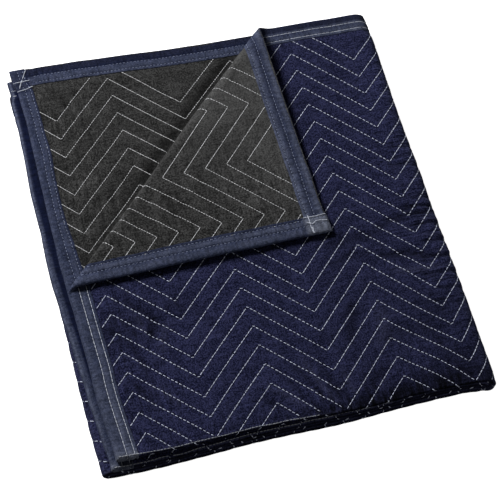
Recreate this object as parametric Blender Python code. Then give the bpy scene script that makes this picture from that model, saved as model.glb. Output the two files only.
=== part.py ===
"""Quilted moving blanket, folded into a flat stack with one corner turned back.

The blanket is cut flat as LENGTH by WIDTH. It is folded once across its width, face cloth outwards, so
that it becomes a pair of plies with the fold at the front. The pair is then folded in four along its
length, which gives a stack of eight plies. The far left corner of the top ply is turned back over the
stack and shows the back cloth.

Every piece is modelled flat, in (u, v, w): u runs along the length from the upper left end, v across the
width from the top ply's far edge, and w is the height over the middle of the ply, towards the face
cloth. fold() then carries each point to its place in the stack.
"""
import math

import bmesh
import bpy

MM = 0.001

# Stack, seen from above: the front fold is at -Y, the bound edges are at +Y, and the ends are at -X.
STACK_LEFT = -225.0 * MM
STACK_RIGHT = 230.0 * MM
STACK_FRONT = -260.0 * MM
TOP_PLY_FAR = 258.0 * MM
SECOND_PLY_FAR = 255.5 * MM
PLY_PITCH = 5.0 * MM
BOX_CENTRE = (-3.01 * MM, -0.30 * MM)    # middle of the finished stack's box before it is centred

# Cloth, in distances from the middle of a ply.
CLOTH_INSIDE = 0.15 * MM
CLOTH_OUTSIDE = 2.15 * MM
CLOTH_UNDER_BINDING = 1.25 * MM

# Binding: a tape folded over each cut edge.
BINDING_WIDTH = 25.0 * MM
BINDING_THICKNESS = 0.6 * MM
PIECE_GAP = 0.3 * MM
PAD_RAMP_START = 26.0 * MM
PAD_RAMP_END = 34.0 * MM

# Turned-back corner: the crest runs between these two points, and its bend is wider at the far end.
CREST_FAR = (93.0 * MM, 256.7 * MM)
CREST_LEFT = (-224.3 * MM, -46.3 * MM)
BEND_RADIUS_FAR = 10.3 * MM
BEND_RADIUS_LEFT = 3.4 * MM
CORNER_SHEAR = 0.117                     # slip along the crest for each metre past it
CORNER_SETTLE = 190.0 * MM               # the corner has sunk onto the top ply this far past the bend
CORNER_CLEARANCE = 1.0 * MM

# Unevenness of the stack. The lower pairs lie a little turned under the upper one.
LOWER_FOLD_SPREAD = 10.0 * MM            # the lower left fold stands out this far,
LOWER_FOLD_FRONT = 4.0 * MM              # and this much more at the front
LOWER_TURN = 0.020                       # the lower pairs move back this much for each metre to the right
LOWER_CORNER_SHORT = 11.0 * MM           # their far left corner falls short
SECOND_PLY_REACH = 8.0 * MM              # the upper pair's far left corner reaches back
UPPER_END_BOW = 2.0 * MM                 # the upper end bows out in the middle,
UPPER_END_FAR_IN = 8.0 * MM              # and comes in at the far corner
UPPER_END_FRONT_IN = 4.5 * MM            # and at the front one
RIGHT_LEAN = 8.0 * MM                    # at the front the right fold leans, foot outwards
FAR_RIGHT_SPREAD = 2.5 * MM              # at the far end the right fold stands out
FOOT_CORNER = 5.0 * MM                   # its foot drops forward at the front corner
FRONT_WAVE = 1.2 * MM
FRONT_WAVE_LENGTH = 210.0 * MM
CROWN = 0.03                             # the middle of the stack is this much higher
CROWN_SPAN = (480.0 * MM, 560.0 * MM)

# Where each of these starts and where it is in full, along X or along Y.
LEFT = (-100.0 * MM, -205.0 * MM)
RIGHT = (110.0 * MM, 215.0 * MM)
FAR = (80.0 * MM, 235.0 * MM)
FRONT = (-120.0 * MM, -240.0 * MM)
LOWER_FOLD_RANGE = (250.0 * MM, -100.0 * MM)
LOWER_FOLD_FRONT_RANGE = (-50.0 * MM, -220.0 * MM)
UPPER_END_FAR_RANGE = (-20.0 * MM, 250.0 * MM)
UPPER_END_FRONT_RANGE = (-160.0 * MM, -260.0 * MM)
SECOND_PLY_REACH_RANGE = (70.0 * MM, -200.0 * MM)
FOOT_CORNER_RANGE = (195.0 * MM, 225.0 * MM)

# Steps of the folded shape.
STRAIGHT_STEPS = 5
PLY_STEPS = 4
OUTER_STEPS = 8
INNER_STEPS = 5
FRONT_STEPS = 4
CORNER_BEND_STEPS = 6
SETTLE_STEPS = 3

COLOURS = {
    "face_cloth": (0.018, 0.019, 0.050, 1.0),
    "back_cloth": (0.035, 0.035, 0.033, 1.0),
    "binding": (0.060, 0.075, 0.130, 1.0),
}
ROUGHNESS = 0.95
SHARP_ANGLE = math.radians(50.0)

# What follows from the sizes above.
HALF_PITCH = PLY_PITCH / 2
HALF_PLY = CLOTH_OUTSIDE
HALF_PAIR = HALF_PITCH + HALF_PLY
PAIR_PITCH = 2 * PLY_PITCH
LAYER_Z = {name: HALF_PAIR + step * PAIR_PITCH for name, step in (("D", 0), ("C", 1), ("B", 2), ("A", 3))}
OUTER_RADIUS = 1.5 * PAIR_PITCH
INNER_RADIUS = 0.5 * PAIR_PITCH
WRAP_X = STACK_RIGHT - OUTER_RADIUS - HALF_PAIR
LOWER_FOLD_X = STACK_LEFT + INNER_RADIUS + HALF_PAIR
FRONT_FOLD_Y = STACK_FRONT + HALF_PAIR

# The pair's route, end to end: a straight layer runs from x to x at height z, and a turn has its centre,
# radius, the angle at which its outward normal starts, and the angle through which it turns.
ROUTE = (
    {"kind": "layer", "x0": STACK_LEFT, "x1": WRAP_X, "z": LAYER_Z["A"]},
    {"kind": "turn", "x": WRAP_X, "z": (LAYER_Z["A"] + LAYER_Z["D"]) / 2, "radius": OUTER_RADIUS,
     "start": math.pi / 2, "sweep": -math.pi, "steps": OUTER_STEPS},
    {"kind": "layer", "x0": WRAP_X, "x1": LOWER_FOLD_X, "z": LAYER_Z["D"]},
    {"kind": "turn", "x": LOWER_FOLD_X, "z": (LAYER_Z["C"] + LAYER_Z["D"]) / 2, "radius": INNER_RADIUS,
     "start": -math.pi / 2, "sweep": -math.pi, "steps": INNER_STEPS},
    {"kind": "layer", "x0": LOWER_FOLD_X, "x1": WRAP_X, "z": LAYER_Z["C"]},
    {"kind": "turn", "x": WRAP_X, "z": (LAYER_Z["B"] + LAYER_Z["C"]) / 2, "radius": INNER_RADIUS,
     "start": -math.pi / 2, "sweep": math.pi, "steps": INNER_STEPS},
    {"kind": "layer", "x0": WRAP_X, "x1": STACK_LEFT, "z": LAYER_Z["B"]},
)


def stretch_length(stretch):
    if stretch["kind"] == "layer":
        return abs(stretch["x1"] - stretch["x0"])
    return stretch["radius"] * abs(stretch["sweep"])


LENGTH = sum(stretch_length(stretch) for stretch in ROUTE)
TOP_PLY = TOP_PLY_FAR - FRONT_FOLD_Y
FRONT_BEND = math.pi * HALF_PITCH
WIDTH = TOP_PLY + FRONT_BEND + SECOND_PLY_FAR - FRONT_FOLD_Y
LAYER_A_LENGTH = stretch_length(ROUTE[0])

CREST_LENGTH = math.dist(CREST_FAR, CREST_LEFT)
CREST_ALONG = tuple((far - left) / CREST_LENGTH for far, left in zip(CREST_FAR, CREST_LEFT))
CREST_ACROSS = (-CREST_ALONG[1], CREST_ALONG[0])
RADIUS_SLOPE = (BEND_RADIUS_FAR - BEND_RADIUS_LEFT) / CREST_LENGTH
SETTLED_HEIGHT = 2 * HALF_PLY + CORNER_CLEARANCE


def smooth(start, end, value):
    """0 before start, 1 after end, with an easy curve between them."""
    share = min(max((value - start) / (end - start), 0.0), 1.0)
    return share * share * (3.0 - 2.0 * share)


def route_point(u):
    """Where the middle of the pair is at u, as x, z and its outward normal in x and z."""
    rest = u
    for stretch in ROUTE:
        length = stretch_length(stretch)
        if rest <= length or stretch is ROUTE[-1]:
            break
        rest -= length
    if stretch["kind"] == "layer":
        way = 1.0 if stretch["x1"] > stretch["x0"] else -1.0
        return stretch["x0"] + way * rest, stretch["z"], 0.0, way
    sign = -1.0 if stretch["sweep"] < 0 else 1.0
    angle = stretch["start"] + sign * rest / stretch["radius"]
    out_x, out_z = math.cos(angle), math.sin(angle)
    x = stretch["x"] + stretch["radius"] * out_x
    z = stretch["z"] + stretch["radius"] * out_z
    return x, z, -sign * out_x, -sign * out_z


def ply_point(v, w):
    """The pair's own section: y, and the height over the middle of the pair."""
    if v <= TOP_PLY:
        return TOP_PLY_FAR - v, HALF_PITCH + w
    if v >= TOP_PLY + FRONT_BEND:
        return FRONT_FOLD_Y + v - TOP_PLY - FRONT_BEND, -HALF_PITCH - w
    angle = (v - TOP_PLY) / HALF_PITCH
    return FRONT_FOLD_Y - (HALF_PITCH + w) * math.sin(angle), (HALF_PITCH + w) * math.cos(angle)


def bend_radius(along):
    return BEND_RADIUS_FAR + RADIUS_SLOPE * along


def turn_corner(x, y, w):
    """The top ply past the crest: bent up and over, slipped a little along the crest, and settled."""
    from_far = (x - CREST_FAR[0], y - CREST_FAR[1])
    along = from_far[0] * CREST_ALONG[0] + from_far[1] * CREST_ALONG[1]
    across = from_far[0] * CREST_ACROSS[0] + from_far[1] * CREST_ACROSS[1]
    radius = bend_radius(along)
    past = across + radius
    if past <= 0.0:
        return x, y, w
    angle = min(past / radius, math.pi)
    rest = past - angle * radius
    drop = max(2 * radius - SETTLED_HEIGHT, 0.0) * smooth(0.0, CORNER_SETTLE, rest)
    across = -radius + (radius - w) * math.sin(angle) - rest
    height = radius - (radius - w) * math.cos(angle) - drop
    along += CORNER_SHEAR * past
    x = CREST_FAR[0] + along * CREST_ALONG[0] + across * CREST_ACROSS[0]
    y = CREST_FAR[1] + along * CREST_ALONG[1] + across * CREST_ACROSS[1]
    return x, y, height


def settle(x, y, z, layer):
    """The small unevenness of a stack folded by hand: layer is the height of the pair's middle there."""
    left, right = smooth(*LEFT, x), smooth(*RIGHT, x)
    far, front = smooth(*FAR, y), smooth(*FRONT, y)
    low = 1.0 - smooth(LAYER_Z["C"], LAYER_Z["A"], layer)
    lower_fold = LOWER_FOLD_SPREAD * smooth(*LOWER_FOLD_RANGE, y)
    lower_fold += LOWER_FOLD_FRONT * smooth(*LOWER_FOLD_FRONT_RANGE, y)
    upper_end = UPPER_END_FAR_IN * smooth(*UPPER_END_FAR_RANGE, y) - UPPER_END_BOW
    upper_end += UPPER_END_FRONT_IN * smooth(*UPPER_END_FRONT_RANGE, y)
    new_x = x - left * lower_fold * low + left * upper_end * (1.0 - low)
    new_x += right * front * RIGHT_LEAN * (0.5 - smooth(LAYER_Z["D"], LAYER_Z["A"], layer))
    new_x += right * far * FAR_RIGHT_SPREAD
    new_y = y + LOWER_TURN * x * low - far * left * LOWER_CORNER_SHORT * low
    new_y += far * SECOND_PLY_REACH * smooth(*SECOND_PLY_REACH_RANGE, x) * (1.0 - low)
    new_y -= front * FOOT_CORNER * smooth(*FOOT_CORNER_RANGE, x) * low
    new_y -= front * FRONT_WAVE * math.sin(math.tau * x / FRONT_WAVE_LENGTH)
    crown = CROWN * math.cos(math.pi * x / CROWN_SPAN[0]) * math.cos(math.pi * y / CROWN_SPAN[1])
    return new_x - BOX_CENTRE[0], new_y - BOX_CENTRE[1], z * (1.0 + crown)


def fold(u, v, w):
    """Carry a point of the flat blanket to its place in the folded stack."""
    middle_x, middle_z, out_x, out_z = route_point(u)
    y, height = ply_point(v, w)
    x, z = middle_x + height * out_x, middle_z + height * out_z
    if u < LAYER_A_LENGTH and v < TOP_PLY:
        x, y, over = turn_corner(middle_x, y, w)
        z = middle_z + HALF_PITCH + over
    return settle(x, y, z, middle_z)


def length_lines():
    """Where the flat blanket is cut across its length, so that it can follow the route."""
    lines = [PAD_RAMP_START, PAD_RAMP_END, LENGTH - PAD_RAMP_START, LENGTH - PAD_RAMP_END]
    start = 0.0
    for stretch in ROUTE:
        length = stretch_length(stretch)
        steps = STRAIGHT_STEPS if stretch["kind"] == "layer" else stretch["steps"]
        lines += [start + length * step / steps for step in range(steps + 1)]
        start += length
    return lines[:-1]


def width_lines():
    lines = [PAD_RAMP_START, PAD_RAMP_END, WIDTH - PAD_RAMP_START, WIDTH - PAD_RAMP_END]
    lines += [TOP_PLY * step / PLY_STEPS for step in range(1, PLY_STEPS)]
    lines += [TOP_PLY + FRONT_BEND * step / FRONT_STEPS for step in range(FRONT_STEPS + 1)]
    second_ply = WIDTH - TOP_PLY - FRONT_BEND
    lines += [TOP_PLY + FRONT_BEND + second_ply * step / PLY_STEPS for step in range(1, PLY_STEPS)]
    return lines


def corner_lines():
    """Pairs of (u, v) points on the straight lines of the turned-back corner's bend."""
    shares = [(math.pi * step / CORNER_BEND_STEPS, 0.0) for step in range(CORNER_BEND_STEPS + 1)]
    shares += [(math.pi, CORNER_SETTLE * step / SETTLE_STEPS) for step in range(1, SETTLE_STEPS + 1)]
    for angle, beyond in shares:
        ends = []
        for along in (0.0, -CREST_LENGTH):
            across = (angle - 1.0) * bend_radius(along) + beyond
            x = CREST_FAR[0] + along * CREST_ALONG[0] + across * CREST_ACROSS[0]
            y = CREST_FAR[1] + along * CREST_ALONG[1] + across * CREST_ACROSS[1]
            ends.append((x - STACK_LEFT, TOP_PLY_FAR - y))
        yield ends


def cut(bm, point, normal):
    geometry = bm.verts[:] + bm.edges[:] + bm.faces[:]
    bmesh.ops.bisect_plane(bm, geom=geometry, dist=1e-6, plane_co=point, plane_no=normal)


def cut_and_fold(bm):
    """Cut a flat piece along every line that it bends on, then fold it."""
    for u in length_lines():
        cut(bm, (u, 0.0, 0.0), (1.0, 0.0, 0.0))
    for v in width_lines():
        cut(bm, (0.0, v, 0.0), (0.0, 1.0, 0.0))
    for (u0, v0), (u1, v1) in corner_lines():
        cut(bm, (u0, v0, 0.0), (v1 - v0, u0 - u1, 0.0))
    bmesh.ops.triangulate(bm, faces=bm.faces[:])
    bmesh.ops.recalc_face_normals(bm, faces=bm.faces[:])
    for vert in bm.verts:
        vert.co = fold(*vert.co)
    bmesh.ops.reverse_faces(bm, faces=bm.faces[:])      # v runs against Y, so folding turns faces inwards


def pad_share(u, v):
    """0 where the binding presses the cloth thin, 1 where the padding is full."""
    from_edge = min(u, LENGTH - u, v, WIDTH - v)
    return min(max((from_edge - PAD_RAMP_START) / (PAD_RAMP_END - PAD_RAMP_START), 0.0), 1.0)


def make_object(name, bm, material):
    mesh = bpy.data.meshes.new(name)
    bm.to_mesh(mesh)
    bm.free()
    mesh.materials.append(material)
    mesh.shade_smooth()
    mesh.set_sharp_from_angle(angle=SHARP_ANGLE)
    piece = bpy.data.objects.new(name, mesh)
    bpy.context.scene.collection.objects.link(piece)
    return piece


def make_cloth(name, side, material):
    """One cloth of the quilt: side is 1 for the face cloth and -1 for the back cloth."""
    bm = bmesh.new()
    bmesh.ops.create_cube(bm, size=1.0)
    margin = BINDING_THICKNESS + PIECE_GAP
    for vert in bm.verts:
        vert.co.x = margin if vert.co.x < 0 else LENGTH - margin
        vert.co.y = margin if vert.co.y < 0 else WIDTH - margin
        outside = (vert.co.z > 0) == (side > 0)
        vert.co.z = side * (CLOTH_OUTSIDE if outside else CLOTH_INSIDE)
    for line in (PAD_RAMP_START, PAD_RAMP_END):
        for u in (line, LENGTH - line):
            cut(bm, (u, 0.0, 0.0), (1.0, 0.0, 0.0))
        for v in (line, WIDTH - line):
            cut(bm, (0.0, v, 0.0), (0.0, 1.0, 0.0))
    for vert in bm.verts:
        if abs(vert.co.z) > CLOTH_INSIDE + PIECE_GAP:
            thin = CLOTH_UNDER_BINDING
            vert.co.z = side * (thin + (CLOTH_OUTSIDE - thin) * pad_share(vert.co.x, vert.co.y))
    cut_and_fold(bm)
    return make_object(name, bm, material)


# A bound edge: how far along it the tape runs, and where a point d in from the edge lies on the flat.
BOUND_EDGES = (
    {"name": "binding_far_top", "along": "length", "at_end": False},
    {"name": "binding_far_second", "along": "length", "at_end": True},
    {"name": "binding_end_upper", "along": "width", "at_end": False},
    {"name": "binding_end_lower", "along": "width", "at_end": True},
)


def make_binding(edge, material):
    """The tape on one edge: a channel whose two legs lie on the face and on the back."""
    outer = HALF_PLY
    inner = HALF_PLY - BINDING_THICKNESS
    outline = ((BINDING_WIDTH, outer), (0.0, outer), (0.0, -outer), (BINDING_WIDTH, -outer))
    tape = BINDING_THICKNESS
    channel = ((BINDING_WIDTH, -inner), (tape, -inner), (tape, inner), (BINDING_WIDTH, inner))
    on_length = edge["along"] == "length"
    size = WIDTH if on_length else LENGTH
    run_start = 0.0 if on_length else BINDING_WIDTH + PIECE_GAP
    run_end = LENGTH if on_length else WIDTH - BINDING_WIDTH - PIECE_GAP

    bm = bmesh.new()
    corners = []
    for inward, w in outline + channel:
        place = size - inward if edge["at_end"] else inward
        corners.append(bm.verts.new((run_start, place, w) if on_length else (place, run_start, w)))
    bm.faces.new(corners)
    grown = bmesh.ops.extrude_face_region(bm, geom=bm.faces[:])
    run = run_end - run_start
    far_verts = [item for item in grown["geom"] if isinstance(item, bmesh.types.BMVert)]
    bmesh.ops.translate(bm, verts=far_verts, vec=(run, 0.0, 0.0) if on_length else (0.0, run, 0.0))
    cut_and_fold(bm)
    return make_object(edge["name"], bm, material)


def make_material(name):
    material = bpy.data.materials.new(name)
    material.use_nodes = True
    shader = material.node_tree.nodes["Principled BSDF"]
    shader.inputs["Base Color"].default_value = COLOURS[name]
    shader.inputs["Roughness"].default_value = ROUGHNESS
    shader.inputs["Metallic"].default_value = 0.0
    material.diffuse_color = COLOURS[name]
    return material


def main():
    for old in list(bpy.data.objects):
        bpy.data.objects.remove(old, do_unlink=True)
    make_cloth("face_cloth", 1, make_material("face_cloth"))
    make_cloth("back_cloth", -1, make_material("back_cloth"))
    binding = make_material("binding")
    for edge in BOUND_EDGES:
        make_binding(edge, binding)


main()
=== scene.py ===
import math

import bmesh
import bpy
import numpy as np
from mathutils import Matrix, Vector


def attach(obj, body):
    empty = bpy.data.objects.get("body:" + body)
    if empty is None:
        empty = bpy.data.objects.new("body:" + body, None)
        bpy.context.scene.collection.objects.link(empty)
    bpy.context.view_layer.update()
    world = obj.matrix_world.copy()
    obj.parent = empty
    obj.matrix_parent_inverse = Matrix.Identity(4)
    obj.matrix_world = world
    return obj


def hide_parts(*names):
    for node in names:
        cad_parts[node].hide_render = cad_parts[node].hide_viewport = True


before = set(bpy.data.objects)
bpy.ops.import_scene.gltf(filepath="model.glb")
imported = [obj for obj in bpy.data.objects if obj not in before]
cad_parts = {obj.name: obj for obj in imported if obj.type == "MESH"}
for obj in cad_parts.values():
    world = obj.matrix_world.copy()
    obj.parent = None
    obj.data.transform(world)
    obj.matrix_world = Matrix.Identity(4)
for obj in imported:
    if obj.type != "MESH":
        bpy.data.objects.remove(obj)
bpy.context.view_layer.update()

# Quilted moving blanket, folded into a flat stack with one corner turned back.
#
# Cloths, bindings and stitches are all laid out flat, in (u, v, w): u runs along the blanket's length
# from the upper left end, v across its width from the top ply's far edge, and w is the height over the
# middle of the ply, towards the face cloth. fold() carries them to their places in the stack.

MM = 0.001

# --- The folded stack, with the sizes of its solids -----------------------------------------------
STACK_LEFT = -225.0 * MM
STACK_RIGHT = 230.0 * MM
STACK_FRONT = -260.0 * MM
TOP_PLY_FAR = 258.0 * MM
SECOND_PLY_FAR = 255.5 * MM
PLY_PITCH = 5.0 * MM
BOX_CENTRE = (-3.01 * MM, -0.30 * MM)
HALF_PLY = 2.15 * MM
UNDER_BINDING = 1.25 * MM
BINDING_WIDTH = 25.0 * MM
PAD_RAMP = (26.0 * MM, 34.0 * MM)

# The turned corner: its crest's two ends on the top ply, and the bend's radius at each.
CREST_FAR = (93.0 * MM, 256.7 * MM)
CREST_LEFT = (-224.3 * MM, -46.3 * MM)
BEND_RADIUS_FAR = 10.3 * MM
BEND_RADIUS_LEFT = 3.4 * MM
CORNER_SHEAR = 0.117
CORNER_SETTLE = 190.0 * MM
CORNER_CLEARANCE = 3.2 * MM
CORNER_DRIFT = (-0.6 * MM, -1.1 * MM)

# How far the edges and folds of a stack folded by hand lean, spread and wave, and the places along x or y
# between which each of them grows.
LOWER_FOLD_SPREAD = 10.0 * MM
LOWER_FOLD_FRONT = 4.0 * MM
LOWER_TURN = 0.020
LOWER_CORNER_SHORT = 11.0 * MM
SECOND_PLY_REACH = 8.0 * MM
UPPER_END_BOW = 2.0 * MM
UPPER_END_FAR_IN = 8.0 * MM
UPPER_END_FRONT_IN = 4.5 * MM
RIGHT_LEAN = 8.0 * MM
FAR_RIGHT_SPREAD = 2.5 * MM
FOOT_CORNER = 5.0 * MM
FRONT_WAVE = 1.2 * MM
FRONT_WAVE_LENGTH = 210.0 * MM
CROWN = 0.03
CROWN_SPAN = (480.0 * MM, 560.0 * MM)
LEFT = (-100.0 * MM, -205.0 * MM)
RIGHT = (110.0 * MM, 215.0 * MM)
FAR = (80.0 * MM, 235.0 * MM)
FRONT = (-120.0 * MM, -240.0 * MM)
LOWER_FOLD_RANGE = (250.0 * MM, -100.0 * MM)
LOWER_FOLD_FRONT_RANGE = (-50.0 * MM, -220.0 * MM)
UPPER_END_FAR_RANGE = (-20.0 * MM, 250.0 * MM)
UPPER_END_FRONT_RANGE = (-160.0 * MM, -260.0 * MM)
SECOND_PLY_REACH_RANGE = (70.0 * MM, -200.0 * MM)
FOOT_CORNER_RANGE = (195.0 * MM, 225.0 * MM)
SECOND_PAIR_OUT = 7.0 * MM
SECOND_PAIR_OUT_RANGE = (-190.0 * MM, 0.0)
SECOND_PAIR_IN = 2.0 * MM
SECOND_PAIR_IN_RANGES = ((60.0 * MM, 240.0 * MM), (-180.0 * MM, -250.0 * MM))
SECOND_PAIR_WANDER = 1.2 * MM
SECOND_NOSE = 4.0 * MM
SECOND_NOSE_RANGE = (-220.0 * MM, 150.0 * MM)
TOP_PAIR_IN = 2.8 * MM
TOP_PAIR_IN_RANGE = (-230.0 * MM, -120.0 * MM)
TOP_PAIR_OUT_SHARE = 0.6
TOP_PAIR_OUT_RANGE = (180.0 * MM, 240.0 * MM)
CORNER_TAB_OUT = 3.0 * MM
CORNER_TAB_RANGE = (224.0 * MM, 236.0 * MM)

# Slight waves through the whole stack: how much, in lumps of what size, and the seed.
RISE_WAVES = ((0.018, 95.0 * MM, 11), (0.010, 38.0 * MM, 12))
SIDE_WAVE = (0.7 * MM, 60.0 * MM, 13)
DEPTH_WAVE = (0.6 * MM, 55.0 * MM, 14)
LOWEST = 0.05 * MM

HALF_PITCH = PLY_PITCH / 2
HALF_PAIR = HALF_PITCH + HALF_PLY
PAIR_PITCH = 2 * PLY_PITCH
LAYER_Z = {name: HALF_PAIR + step * PAIR_PITCH for name, step in (("D", 0), ("C", 1), ("B", 2), ("A", 3))}
OUTER_RADIUS = 1.5 * PAIR_PITCH
INNER_RADIUS = 0.5 * PAIR_PITCH
WRAP_X = STACK_RIGHT - OUTER_RADIUS - HALF_PAIR
LOWER_FOLD_X = STACK_LEFT + INNER_RADIUS + HALF_PAIR
FRONT_FOLD_Y = STACK_FRONT + HALF_PAIR

# The pair's route: a layer runs from x to x at height z; a turn has its centre, radius, start and sweep.
ROUTE = (
    ("layer", STACK_LEFT, WRAP_X, LAYER_Z["A"]),
    ("turn", WRAP_X, (LAYER_Z["A"] + LAYER_Z["D"]) / 2, OUTER_RADIUS, math.pi / 2, -math.pi),
    ("layer", WRAP_X, LOWER_FOLD_X, LAYER_Z["D"]),
    ("turn", LOWER_FOLD_X, (LAYER_Z["C"] + LAYER_Z["D"]) / 2, INNER_RADIUS, -math.pi / 2, -math.pi),
    ("layer", LOWER_FOLD_X, WRAP_X, LAYER_Z["C"]),
    ("turn", WRAP_X, (LAYER_Z["B"] + LAYER_Z["C"]) / 2, INNER_RADIUS, -math.pi / 2, math.pi),
    ("layer", WRAP_X, STACK_LEFT, LAYER_Z["B"]),
)
ROUTE_LENGTHS = [abs(s[2] - s[1]) if s[0] == "layer" else s[3] * abs(s[5]) for s in ROUTE]
ROUTE_ENDS = np.cumsum(ROUTE_LENGTHS)
LENGTH = float(ROUTE_ENDS[-1])
LAYER_A, WRAP_END, LAYER_D, LOWER_FOLD_END, LAYER_C, INNER_END = (float(end) for end in ROUTE_ENDS[:6])
TOP_PLY = TOP_PLY_FAR - FRONT_FOLD_Y
FRONT_BEND = math.pi * HALF_PITCH
SECOND_PLY = TOP_PLY + FRONT_BEND
WIDTH = SECOND_PLY + SECOND_PLY_FAR - FRONT_FOLD_Y

CREST_LENGTH = math.dist(CREST_FAR, CREST_LEFT)
CREST_ALONG = tuple((far - left) / CREST_LENGTH for far, left in zip(CREST_FAR, CREST_LEFT))
CREST_ACROSS = (-CREST_ALONG[1], CREST_ALONG[0])
RADIUS_SLOPE = (BEND_RADIUS_FAR - BEND_RADIUS_LEFT) / CREST_LENGTH
SETTLED_HEIGHT = 2 * HALF_PLY + CORNER_CLEARANCE

# --- Quilting: rows of zig-zag stitching ----------------------------------------------------------
ROW_PITCH = 24.93 * MM
# Between these knots the rows are evenly spaced, a little wider on the second ply.
ROW_KNOTS = (-8.0, 20.0, 34.0, 44.0)
ROW_PLACES = (-181.7 * MM, 516.4 * MM, 882.0 * MM, 1122.0 * MM)
FIRST_LINE, LAST_LINE = -1, 37
# A leg crosses this many rows, and the cosine of its slant makes the rows' spacing a distance across it.
ZIGZAG_ROWS = 2.94
LEG_COSINE = 0.715
# Where the legs turn, in mm along the length: as they show on top, shorter legs underneath, and plain ones.
ZIGZAG_TURNS = [-35.3, 40.2, 116.7, 194.6, 269.2, 345.0, 417.6, 493.1]
ZIGZAG_TURNS += [506.3 + 65.3 * step for step in range(1, 7)]
ZIGZAG_TURNS += [898.1 + 75.5 * step for step in range(1, 14)]
TURNS = np.array(ZIGZAG_TURNS) * MM
TURN_ROUNDING = 0.6 * MM
ROUNDING_STEPS = (-1.0, -0.4, 0.4, 1.0)
# The outer cloth's extra length round the double fold.
WRAP_EASE = 0.28
# The front right corner's cloth is pulled towards the fold.
CORNER_SLIP = 12.0 * MM
SLIP_ALONG = (330.0 * MM, 415.0 * MM)
SLIP_ACROSS = (395.0 * MM, 490.0 * MM)
SLIP_FADE = 40.0 * MM
# The second ply's cloth is drawn towards the upper end's binding.
END_SLIP = 4.0 * MM
END_SLIP_ALONG = (45.0 * MM, 110.0 * MM)
END_SLIP_FULL = 780.0 * MM


def smooth(start, end, value):
    """0 before start, 1 after end, with an easy curve between them."""
    share = np.clip((value - start) / (end - start), 0.0, 1.0)
    return share * share * (3.0 - 2.0 * share)


def ridge(value, centre, half_width):
    """1 at the centre, falling away softly to both sides."""
    return np.exp(-(((value - centre) / half_width) ** 2))


def uneven(x, y, lump, seed):
    """Soft unevenness from -1 to 1, in lumps of about this size."""
    cells = 64
    heights = np.random.default_rng(seed).uniform(-1.0, 1.0, (cells, cells))
    x, y = np.asarray(x) / lump + 17.3, np.asarray(y) / lump + 31.7
    column, row = np.floor(x).astype(int), np.floor(y).astype(int)
    ease_x, ease_y = smooth(0.0, 1.0, x - column), smooth(0.0, 1.0, y - row)
    corner = [[heights[(column + i) % cells, (row + j) % cells] for j in (0, 1)] for i in (0, 1)]
    near = corner[0][0] * (1 - ease_x) + corner[1][0] * ease_x
    far = corner[0][1] * (1 - ease_x) + corner[1][1] * ease_x
    return near * (1 - ease_y) + far * ease_y


def own_length(u):
    """The cloth's own length at u, with its longer way round the double fold."""
    return u + WRAP_EASE * np.clip(u - LAYER_A, 0.0, WRAP_END - LAYER_A)


def zigzag(u, v):
    """0 at the turns nearest the top ply's far edge and 1 at the others, with slightly rounded turns."""
    slip = CORNER_SLIP * smooth(*SLIP_ALONG, u) * (1.0 - smooth(LAYER_A, WRAP_END, u))
    slip = slip * smooth(*SLIP_ACROSS, v) * (1.0 - smooth(SECOND_PLY, SECOND_PLY + SLIP_FADE, v))
    end_slip = END_SLIP * smooth(SECOND_PLY, END_SLIP_FULL, v) * (1.0 - smooth(*END_SLIP_ALONG, u))
    length = own_length(u) - slip + end_slip
    peaks = (np.arange(len(TURNS)) % 2 == 0).astype(float)
    shifted = [np.interp(length + step * TURN_ROUNDING, TURNS, peaks) for step in ROUNDING_STEPS]
    return sum(shifted) / len(shifted)


def row_number(v):
    return np.interp(v, ROW_PLACES, ROW_KNOTS)


def row_place(row):
    return np.interp(row, ROW_KNOTS, ROW_PLACES)


def line_place(line, u):
    """Where a line of stitching crosses u."""
    v = row_place(line + 0.5 * ZIGZAG_ROWS) + 0.0 * u
    for _ in range(4):
        v = row_place(line + ZIGZAG_ROWS * zigzag(u, v))
    return v


def quilt_row(u, v):
    """A whole number on every line of stitching."""
    return row_number(v) - ZIGZAG_ROWS * zigzag(u, v)


# --- Folding --------------------------------------------------------------------------------------
def route_point(u):
    """Where the middle of the pair is at u, as x, z and its outward normal in x and z."""
    x, z, out_x, out_z = (np.zeros_like(u) for _ in range(4))
    start = 0.0
    for stretch, length in zip(ROUTE, ROUTE_LENGTHS):
        here = u > start if start > 0 else np.ones_like(u, bool)
        rest = u[here] - start
        if stretch[0] == "layer":
            way = math.copysign(1.0, stretch[2] - stretch[1])
            x[here], z[here], out_x[here], out_z[here] = stretch[1] + way * rest, stretch[3], 0.0, way
        else:
            _, turn_x, turn_z, radius, first, sweep = stretch
            sign = math.copysign(1.0, sweep)
            angle = first + sign * rest / radius
            x[here], z[here] = turn_x + radius * np.cos(angle), turn_z + radius * np.sin(angle)
            out_x[here], out_z[here] = -sign * np.cos(angle), -sign * np.sin(angle)
        start += length
    return x, z, out_x, out_z


def ply_point(v, w):
    """The pair's own section: y, and the height over the middle of the pair."""
    angle = (v - TOP_PLY) / HALF_PITCH
    y = FRONT_FOLD_Y - (HALF_PITCH + w) * np.sin(angle)
    height = (HALF_PITCH + w) * np.cos(angle)
    first, second = v <= TOP_PLY, v >= SECOND_PLY
    y = np.where(first, TOP_PLY_FAR - v, np.where(second, FRONT_FOLD_Y + v - SECOND_PLY, y))
    height = np.where(first, HALF_PITCH + w, np.where(second, -HALF_PITCH - w, height))
    return y, height


def crest_place(x, y):
    """How far along the turned corner's crest from its far end, and how far past it."""
    from_x, from_y = x - CREST_FAR[0], y - CREST_FAR[1]
    along = from_x * CREST_ALONG[0] + from_y * CREST_ALONG[1]
    across = from_x * CREST_ACROSS[0] + from_y * CREST_ACROSS[1]
    return along, across


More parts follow.
